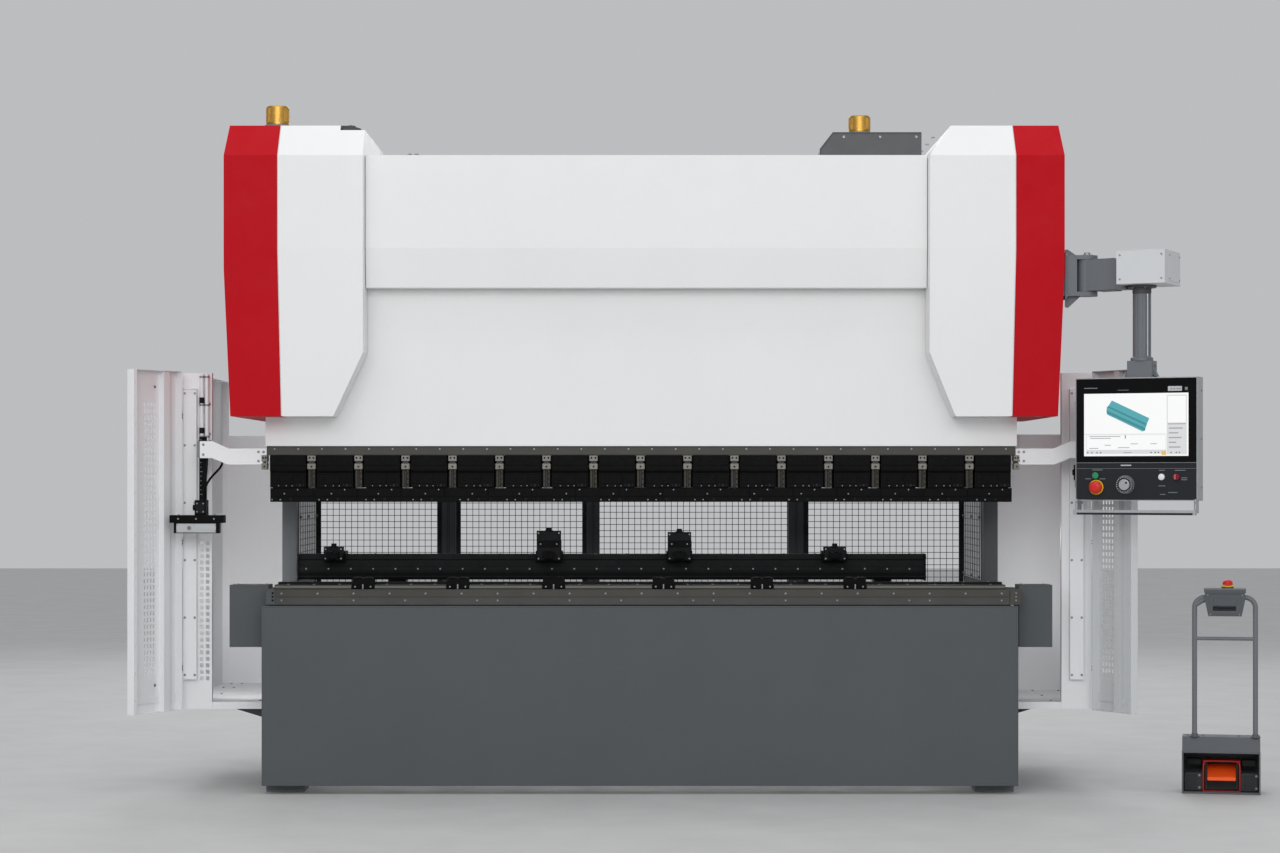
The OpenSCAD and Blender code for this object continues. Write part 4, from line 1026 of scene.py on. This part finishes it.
for body, nm, cx, zb, hx0, hx1 in (("laser_left", "left", -1942, 0, -2041, -1844), ("laser_right", "right", 1979, 155, 1922, 2036)):
    g = Geo()
    z0, z1 = 1138 + zb, 1184 + zb
    g.box(hx0 + 12, hx1 - 12, -658, -655.6, z0 + 3, z1 - 4, 1.5, mi=5)
    g.box(hx0 + 12, (hx0 + hx1) / 2 - 6, -659.6, -657, z0 + 6, z1 - 8, 1.5, mi=5)
    g.cyl(((hx0 + hx1) / 2 - 30, -659, (z0 + z1) / 2), "-y", 9, 3, 28, mi=2)
    g.lathe(((hx0 + hx1) / 2 - 30, -661.4, (z0 + z1) / 2), "-y", [(0, 7), (1, 6.6), (0.2, 5.5), (0.5, 0.5)], 28, mi=0)
    g.box((hx0 + hx1) / 2 + 8, hx1 - 24, -659.4, -657, z0 + 14, z1 - 14, 1, mi=5)
    for x in (hx0 + 14, hx1 - 14):
        for z in (z0 + 11, z1 - 11):
            g.screw((x, -658, z), "-y", 3, 2, mi=1)
    for x in (hx0 + 20, (hx0 + hx1) / 2, hx1 - 20):
        g.screw((x, -660, z1 + 17), "-y", 4, 2.6, mi=1)
        g.hexbolt((x, -640, z1 + 33), "z", 4, 4, mi=1)
    bx0, bx1 = (-1950, -1901) if body == "laser_left" else (1911, 1960)
    g.box(bx0 + 4, bx1 - 4, -654, -651.6, z1 + 40, z1 + 92, 1.2, mi=3)
    for x in (bx0 + 11, bx1 - 11):
        for z in (z1 + 48, z1 + 84):
            g.screw((x, -654, z), "-y", 3.4, 2.2, mi=1)
    g.cyl((bx0, -620, z1 + 66), "-x", 12, 12, 24, mi=3)
    for k in range(12):
        M2 = Matrix.Translation((bx0 - 6, -620, z1 + 66)) @ Matrix.Rotation(k * math.pi / 6, 4, "X")
        g.box(-5, 5, -1.2, 1.2, 11.6, 13.2, 0.4, mi=3, M=M2)
    sz0, sz1 = (1217, 1560) if body == "laser_left" else (1372, 1715)
    sx0, sx1 = (-1940, -1908) if body == "laser_left" else (1918, 1950)
    for z in range(int(sz0) + 90, int(sz1) - 10, 20):
        g.box(sx0 + 5, sx0 + (14 if (z // 20) % 5 == 0 else 10), -589, -587.6, z, z + 1.4, 0.3, mi=4)
    g.box(sx0 - 1, sx1 + 1, -589.5, -572.5, sz1 - 6, sz1 + 1, 1.5, mi=0)
    if body == "laser_left":
        # strain relief at the block and the connector behind the arm
        g.lathe((-1916, -618, 1282.6), "z", [(0, 10), (4, 10), (5, 8.6), (12, 7.4), (26, 5.6), (26, 5)], 24, mi=0)
        g.lathe((-1837, -573, 1462), "z", [(0, 5.2), (2, 6.2), (14, 7.2), (16, 8.4), (36, 8.4), (37, 7.2), (44, 7.2), (45, 6.4), (45, 1)], 26, mi=2)
        for k in range(14):
            M2 = Matrix.Translation((-1837, -573, 1488)) @ Matrix.Rotation(k * math.pi / 7, 4, "Z")
            g.box(8.0, 8.9, -0.8, 0.8, -8, 8, 0.3, mi=1, M=M2)
    g.make(nm + "_head_details", [BLACK, BOLT, GREYP, BEAM, PRINT, CABINET], body)

# ------------------------------------------------------------------ backgauge
g = Geo()
g.box(-1533, 1277, -334.5, -329.6, 962, 982, 1, mi=3)
g.box(-1533, 1277, -330.8, -329.6, 940, 956, 0.4, mi=1)
for k in range(28):
    g.screw((-1500 + k * 100.4, -334.5, 972), "-y", 4, 2, mi=2)
for x0, x1 in ((-1541, -1533), (1277, 1285)):
    g.box(x0, x1, -338, -228, 918, 1040, 2.5, mi=3)
    a = "-x" if x0 < 0 else "x"
    for y in (-322, -244):
        for z in (934, 1024):
            g.screw((x0 if x0 < 0 else x1, y, z), a, 5, 2.6, mi=2)
g.box(-1530, 1274, -300, -262, 1034.6, 1038.6, 1.2, mi=3)
for k in range(20):
    g.screw((-1480 + k * 142, -281, 1038.6), "z", 4, 2, mi=2)
for x in (-1480, -1200, -900, -600, -300, 0, 300, 600, 900, 1220):
    g.hexbolt((x, -230, 980), "y", 8, 6, mi=2)
g.make("gauge_beam_details", [BRIGHT, BLACK, BOLT, BEAM], "gauge_beam")

for i, (x, w, h, nm) in enumerate(((-1420, 98, 62, "finger_far_left"), (-468, 120, 134, "finger_mid_left"), (118, 117, 128, "finger_mid_right"), (816, 112, 62, "finger_far_right"))):
    g = Geo()
    g.box(x + 9, x + w - 9, -401.5, -399.6, 1014, 1006 + h, 1.2, mi=0)
    g.box(x + w / 2 - 22, x + w / 2 + 22, -472, -469.6, 1024, 1048, 1, mi=3)
    for dx in (14, w - 14):
        for z in (1020, 1000 + h):
            g.screw((x + dx, -401.5, z), "-y", 4, 2.4, mi=2)
    for dx in (0.3, 0.7):
        g.hexbolt((x + w * dx, -300, 1052), "z", 6, 6, mi=2)
        g.hexbolt((x + w * dx, -260, 1052), "z", 6, 6, mi=2)
    g.box(x + w / 2 - 10, x + w / 2 + 10, -458, -405, 1049.6, 1053, 1, mi=3)
    g.lathe((x + w / 2, -372, 1010 + h), "z", [(0, 17), (3, 17), (4, 12), (14, 12), (15, 10)], 24, mi=0)
    if h > 100:
        g.box(x + w - 8, x + w - 4, -396, -350, 1020, 1100, 1, mi=0)
        g.box(x + 14, x + w - 14, -404, -401, 1070, 1100, 1.5, mi=3)
        for dx in (24, w - 24):
            g.screw((x + dx, -404, 1085), "-y", 3.6, 2, mi=2)
    g.make(nm + "_details", [BEAM, BRIGHT, BOLT, BLACK], "finger_%d" % (i + 1))

g = Geo()
for s in (-1, 1):
    for dx in (1068, 1100, 1132):
        g.hexbolt((s * dx, -228, 790), "-y", 5, 4, mi=1)
    g.box(s * 1134, s * 1066, -230.5, -227.6, 830, 1020, 2, mi=0)
    for z in (850, 925, 1000):
        for dx in (1078, 1122):
            g.screw((s * dx, -230.5, z), "-y", 5, 2.6, mi=1)
    g.box(s * 1128, s * 1072, -120.4, -117, 810, 1010, 2, mi=0)
g.make("carriage_details", [FRAME, BOLT], "gauge_carriage")

# ------------------------------------------------------------------ drive
for body, x in (("screw_left", -1400), ("screw_right", 1400)):
    g = Geo()
    n = 20
    pts = []
    for k in range(int(38 * n) + 1):
        a = 2 * math.pi * k / n
        pts.append((x + math.cos(a) * 32.1, -430 + math.sin(a) * 32.1, 1662 + 20 * k / n))
    g.tube(pts, 2.2, 5, smooth=0)
    g.lathe((x, -430, 2432), "z", [(0, 38), (2, 40), (4, 44)], 32)
    g.lathe((x, -430, 1646.5), "z", [(0, 26), (3, 29), (4, 31)], 32)
    g.make(body + "_thread", [STEELV], body, angle=50)

g = Geo()
for s in (-1, 1):
    cx = s * 1400
    for k in range(28):
        M = Matrix.Translation((cx, -430, 0)) @ Matrix.Rotation(k * 2 * math.pi / 28, 4, "Z")
        g.box(76, 84, -1.6, 1.6, 2634, 2792, 0.8, mi=0, M=M)
    for dx in (-76, 76):
        for dy in (-76, 76):
            g.hexbolt((cx + dx, -430 + dy, 2625), "z", 8, 8, mi=1)
    for dx in (-52, 52):
        for dy in (-52, 52):
            g.hexbolt((cx + dx, -430 + dy, 2870), "z", 5, 5, mi=1)
    g.box(cx - 30, cx + 30, -364, -340, 2812, 2858, 4, mi=0)
    g.cyl((cx - 14, -340, 2836), "y", 11, 16, 20, mi=1)
    g.cyl((cx + 14, -340, 2836), "y", 11, 16, 20, mi=1)
    for z in (2480, 2580):
        for dx in (-60, 60):
            g.hexbolt((cx + dx, -520, z), "-y", 9, 8, mi=1)
            g.hexbolt((cx + dx, -330, z), "y", 9, 8, mi=1)
g.make("motor_details", [RUBBER, BOLT], "machine")

g = Geo()
for s in (-1, 1):
    cx = s * 1400
    for k in range(8):
        a = k * math.pi / 4
        g.hexbolt((cx + math.cos(a) * 47, -430 + math.sin(a) * 47, 2060), "z", 5, 5, mi=1)
    for dx in (-64, 64):
        for z in (1920, 1980):
            g.hexbolt((cx + dx, -370, z), "y", 7, 7, mi=1)
    g.lathe((cx - s * 0, -369, 1950), "y", [(0, 6), (8, 6), (9, 4.5)], 14, mi=1)
g.make("nut_details", [STEELV, BOLT], "ram")

g = Geo()
for s in (-1, 1):
    for z in range(1780, 2440, 80):
        g.screw((s * 1556, -570, z), "-y", 5, 2.6, mi=0)
    for y in range(-480, 560, 90):
        g.screw((s * 1100, y, 778), "z", 6, 3, mi=0)
g.make("guide_screws", [BOLT], "machine")

# ram rear face: ribs and bolts
g = Geo()
for x in (-1200, -700, -200, 300, 800, 1250):
    g.box(x - 8, x + 8, -500.5, -470, 1530, 2430, 2, mi=0)
for x in range(-1500, 1501, 250):
    for z in (1498, 1560, 2420):
        g.hexbolt((x, -500, z), "y", 8, 7, mi=1)
g.make("ram_back_ribs", [FRAME, BOLT], "ram")

# ------------------------------------------------------------------ electrical cabinet
g = Geo()
for k in range(12):
    for z0 in (450, 1340):
        g.box(2027, 2032, 420, 740, z0 + k * 13, z0 + k * 13 + 6, 1.4, mi=0)
g.box(2028, 2029.6, 275, 880, 412, 1542, 0.6, mi=0)
for z in (420, 1530):
    for y in (290, 866):
        g.screw((2029.5, y, z), "x", 5, 2.4, mi=1)
g.lathe((2030, 295, 1000), "x", [(0, 13), (4, 13), (5, 11), (5, 5), (2, 4.6)], 28, mi=1)
g.box(2036, 2041, 287, 303, 852, 948, 2, mi=2)
for z in (520, 1300):
    g.box(2027.4, 2029.6, 866, 896, z + 32, z + 65, 0.8, mi=0)
    for dz in (40, 57):
        g.screw((2029.5, 880, z + dz), "x", 3.4, 2, mi=1)
g.make("cabinet_door_details", [CABINET, BOLT, SLATE], "door_cabinet")

g = Geo()
for x in (1700, 1830, 1960):
    for z in (420, 980, 1535):
        g.hexbolt((x, 900, z), "y", 5, 4, mi=1)
for x in (1680, 1960):
    for y in (300, 860):
        g.hexbolt((x, y, 1560), "z", 6, 5, mi=1)
for z in (560, 760, 960, 1160, 1360):
    g.box(1652, 1664, 330, 830, z, z + 34, 2, mi=2)
    for k in range(7):
        g.box(1662, 1720, 345 + k * 68, 390 + k * 68, z - 40, z + 70, 3, mi=3)
        g.box(1720, 1722, 352 + k * 68, 383 + k * 68, z - 10, z + 40, 0.8, mi=2)
g.make("cabinet_switchgear", [CABINET, BOLT, GREYP, SLATE], "machine")

# ------------------------------------------------------------------ foot control
F = Matrix.Translation((2553, -610, 0)) @ Matrix.Rotation(math.radians(-12), 4, "Z") @ Matrix.Translation((-2553, 610, 0))
g = Geo(F)
g.box(2385, 2721, -702, -697, 178, 188, 1.5, mi=0)
for x0, x1 in ((2385, 2392), (2714, 2721)):
    g.box(x0, x1, -703, -697, 4, 184, 1.5, mi=0)
g.box(2386, 2720, -702, -560, 3.6, 8, 1.2, mi=0)
g.box(2394, 2478, -664, -640, 10, 92, 3, mi=1)
g.box(2634, 2712, -664, -640, 10, 92, 3, mi=1)
for x0 in (2404, 2648):
    for i in range(5):
        g.box(x0, x0 + 44, -666.5, -663, 22 + i * 13, 27 + i * 13, 1, mi=1)
    g.hexbolt((x0 + 56, -664, 24), "-y", 4, 4, mi=2)
    g.hexbolt((x0 + 56, -664, 78), "-y", 4, 4, mi=2)
g.box(2402, 2470, -652, -600, 120, 150, 4, mi=3)
g.box(2640, 2704, -652, -600, 116, 148, 4, mi=3)
g.cyl((2424, -652, 136), "-y", 9, 6, 20, mi=3)
for x in (2408, 2476, 2630, 2698):
    g.hexbolt((x, -585, 245), "z", 6, 5, mi=2)
for x in (2400, 2706):
    for y in (-680, -540):
        g.lathe((x, y, 0.3), "z", [(0, 13), (1, 15), (3.6, 15)], 24, mi=3)
for x in (2439, 2700):
    g.lathe((x, -640, 245), "z", [(0, 22), (4, 22), (5, 15), (14, 13.5), (16, 11.4)], 28, mi=0)
    for s in (-1, 1):
        g.screw((x + s * 17, -640, 249), "z", 3, 2, mi=2)
g.make("foot_hood_details", [HOOD, DARKBOX, BOLT, RUBBER], "machine")

g = Geo(F)
for x0, x1 in ((2474, 2480), (2630, 2636)):
    g.prism([(-664, 8), (-668, 60), (-664, 126), (-640, 142), (-532, 142), (-526, 130), (-526, 6)], "x", x0, x1, 0)
g.box(2474, 2636, -652, -532, 138, 143.5, 1.5, mi=0)
g.box(2474, 2636, -666, -640, 5, 11, 1.5, mi=0)
g.tube([(2477, -667, 10), (2477, -670, 70), (2477, -666, 132), (2488, -662, 141), (2555, -661, 142), (2622, -662, 141), (2633, -666, 132), (2633, -670, 70), (2633, -667, 10)], 3.2, 10, mi=0, smooth=2)
for x in (2473, 2637):
    g.hexbolt((x, -600, 90), "x" if x > 2500 else "-x", 4, 3, mi=1)
g.make("pedal_cage", [CAGE, BOLT], "machine")

g = Geo(F)
for k in range(8):
    t0 = k / 8.0
    y = -664 + t0 * 100
    z = 64.2 + (y + 672) * (44.0 / 119.0) + 4.5
    g.box(2500, 2610, y, y + 5, z + 1.0, z + 4.4, 1.0, mi=0)
g.box(2494.5, 2615.5, -692.5, -688, 58, 74, 2, mi=0)
for x in (2486, 2622):
    g.cyl((x, -547, 112), "x" if x > 2500 else "-x", 8, 5, 20, mi=1)
g.tube([(2497 + k * 0.62, -547 + math.cos(k * 1.05) * 8.5, 112 + math.sin(k * 1.05) * 8.5) for k in range(34)], 1.3, 6, mi=1, smooth=1)
g.make("pedal_tread", [ORANGEP, BOLT], "pedal")

g = Geo(F)
g.box(2479, 2660, -673.5, -606.5, 889, 897.5, 2.5, mi=5)
g.prism([(2502, 868), (2637, 868), (2631, 785), (2508, 785)], "y", -670.5, -667.6, 0)
g.box(2519, 2617, -672.6, -670, 820, 852, 1.5, mi=0)
g.box(2517, 2617, -671.4, -670, 799, 818, 1.2, mi=3)
g.tube([(2522, -671, 817), (2530, -674, 814), (2568, -675, 812), (2606, -674, 814), (2614, -671, 817)], 3, 10, mi=3, smooth=2)
for x in (2496, 2643):
    g.screw((x, -668.5, 868), "-y", 3.4, 2.2, mi=2)
for x in (2508, 2631):
    g.screw((x, -668.5, 783), "-y", 3.4, 2.2, mi=2)
g.ring((2581, -640, 904), "z", 29, 22.5, 4.6, 32, mi=4)
g.tube([(2444, -640, 824), (2470, -640, 842), (2488, -640, 848)], 11.6, 14, mi=5, smooth=2)
g.make("foot_box_details", [FOOTBOX, GREYP, BOLT, SLATE, YELLOW, FOOT], "machine")

g = Geo(F)
g.lathe((2581, -640, 930.6), "z", [(0, 15.5), (1.2, 14), (2.0, 9), (2.2, 1)], 30)
for k in range(18):
    M = Matrix.Translation((2581, -640, 918.5)) @ Matrix.Rotation(k * math.pi / 9, 4, "Z")
    g.box(20.4, 21.8, -1.3, 1.3, -5.6, 5.6, 0.5, M=M)
g.make("foot_estop_cap", [REDP], "foot_button")

# ------------------------------------------------------------------ floor, world and lights
me = bpy.data.meshes.new("floor")
me.from_pydata([(-30, -30, 0), (30, -30, 0), (30, 30, 0), (-30, 30, 0)], [], [(0, 1, 2, 3)])
floor = bpy.data.objects.new("floor", me)
scene.collection.objects.link(floor)
t = Tree("floor_pale")
t.set(Base_Color=t.ramp(t.noise(2.2, 6, 0.6), [(0.3, lin(196, 196, 195)), (0.7, lin(204, 204, 203))]),
      Roughness=t.rng(t.noise(5, 5, 0.6), 0.5, 0.68), Normal=t.bump(t.noise(120, 3, 0.5), 0.08, 0.001))
me.materials.append(t.m)

world = bpy.data.worlds.new("world")
scene.world = world
world.use_nodes = True
bg = world.node_tree.nodes["Background"]
bg.inputs[0].default_value = (*lin(232, 234, 237), 1)
bg.inputs[1].default_value = 0.62


def area(name, loc, target, size, size_y, power, color=(1, 1, 1)):
    d = bpy.data.lights.new(name, "AREA")
    d.shape = "RECTANGLE"
    d.size, d.size_y, d.energy, d.color = size, size_y, power, color
    o = bpy.data.objects.new(name, d)
    scene.collection.objects.link(o)
    o.location = loc
    o.rotation_euler = (Vector(target) - Vector(loc)).to_track_quat("-Z", "Y").to_euler()
    return o


area("key", (-3.5, -8.5, 6.5), (0, -0.6, 1.4), 7, 4, 95, (1, 0.99, 0.97))
area("fill", (6.0, -8.0, 4.0), (0.4, -0.6, 1.2), 5, 4, 35, (0.97, 0.98, 1))
area("front", (0, -15.0, 5.4), (0, -0.6, 1.2), 11, 4.5, 600)
for nm, x in (("bay_left", -1.76), ("bay_right", 1.80)):
    o = area(nm, (x, -0.40, 0.86), (x, 0.5, 0.98), 0.2, 0.6, 3.0 if x < 0 else 1.0)
    o.visible_camera = False
    o.visible_glossy = False
area("top", (0, -1.5, 7.5), (0, -0.3, 1.2), 8, 4, 110)
area("back", (0, 7.5, 5.5), (0, 0.4, 1.2), 8, 4, 190)
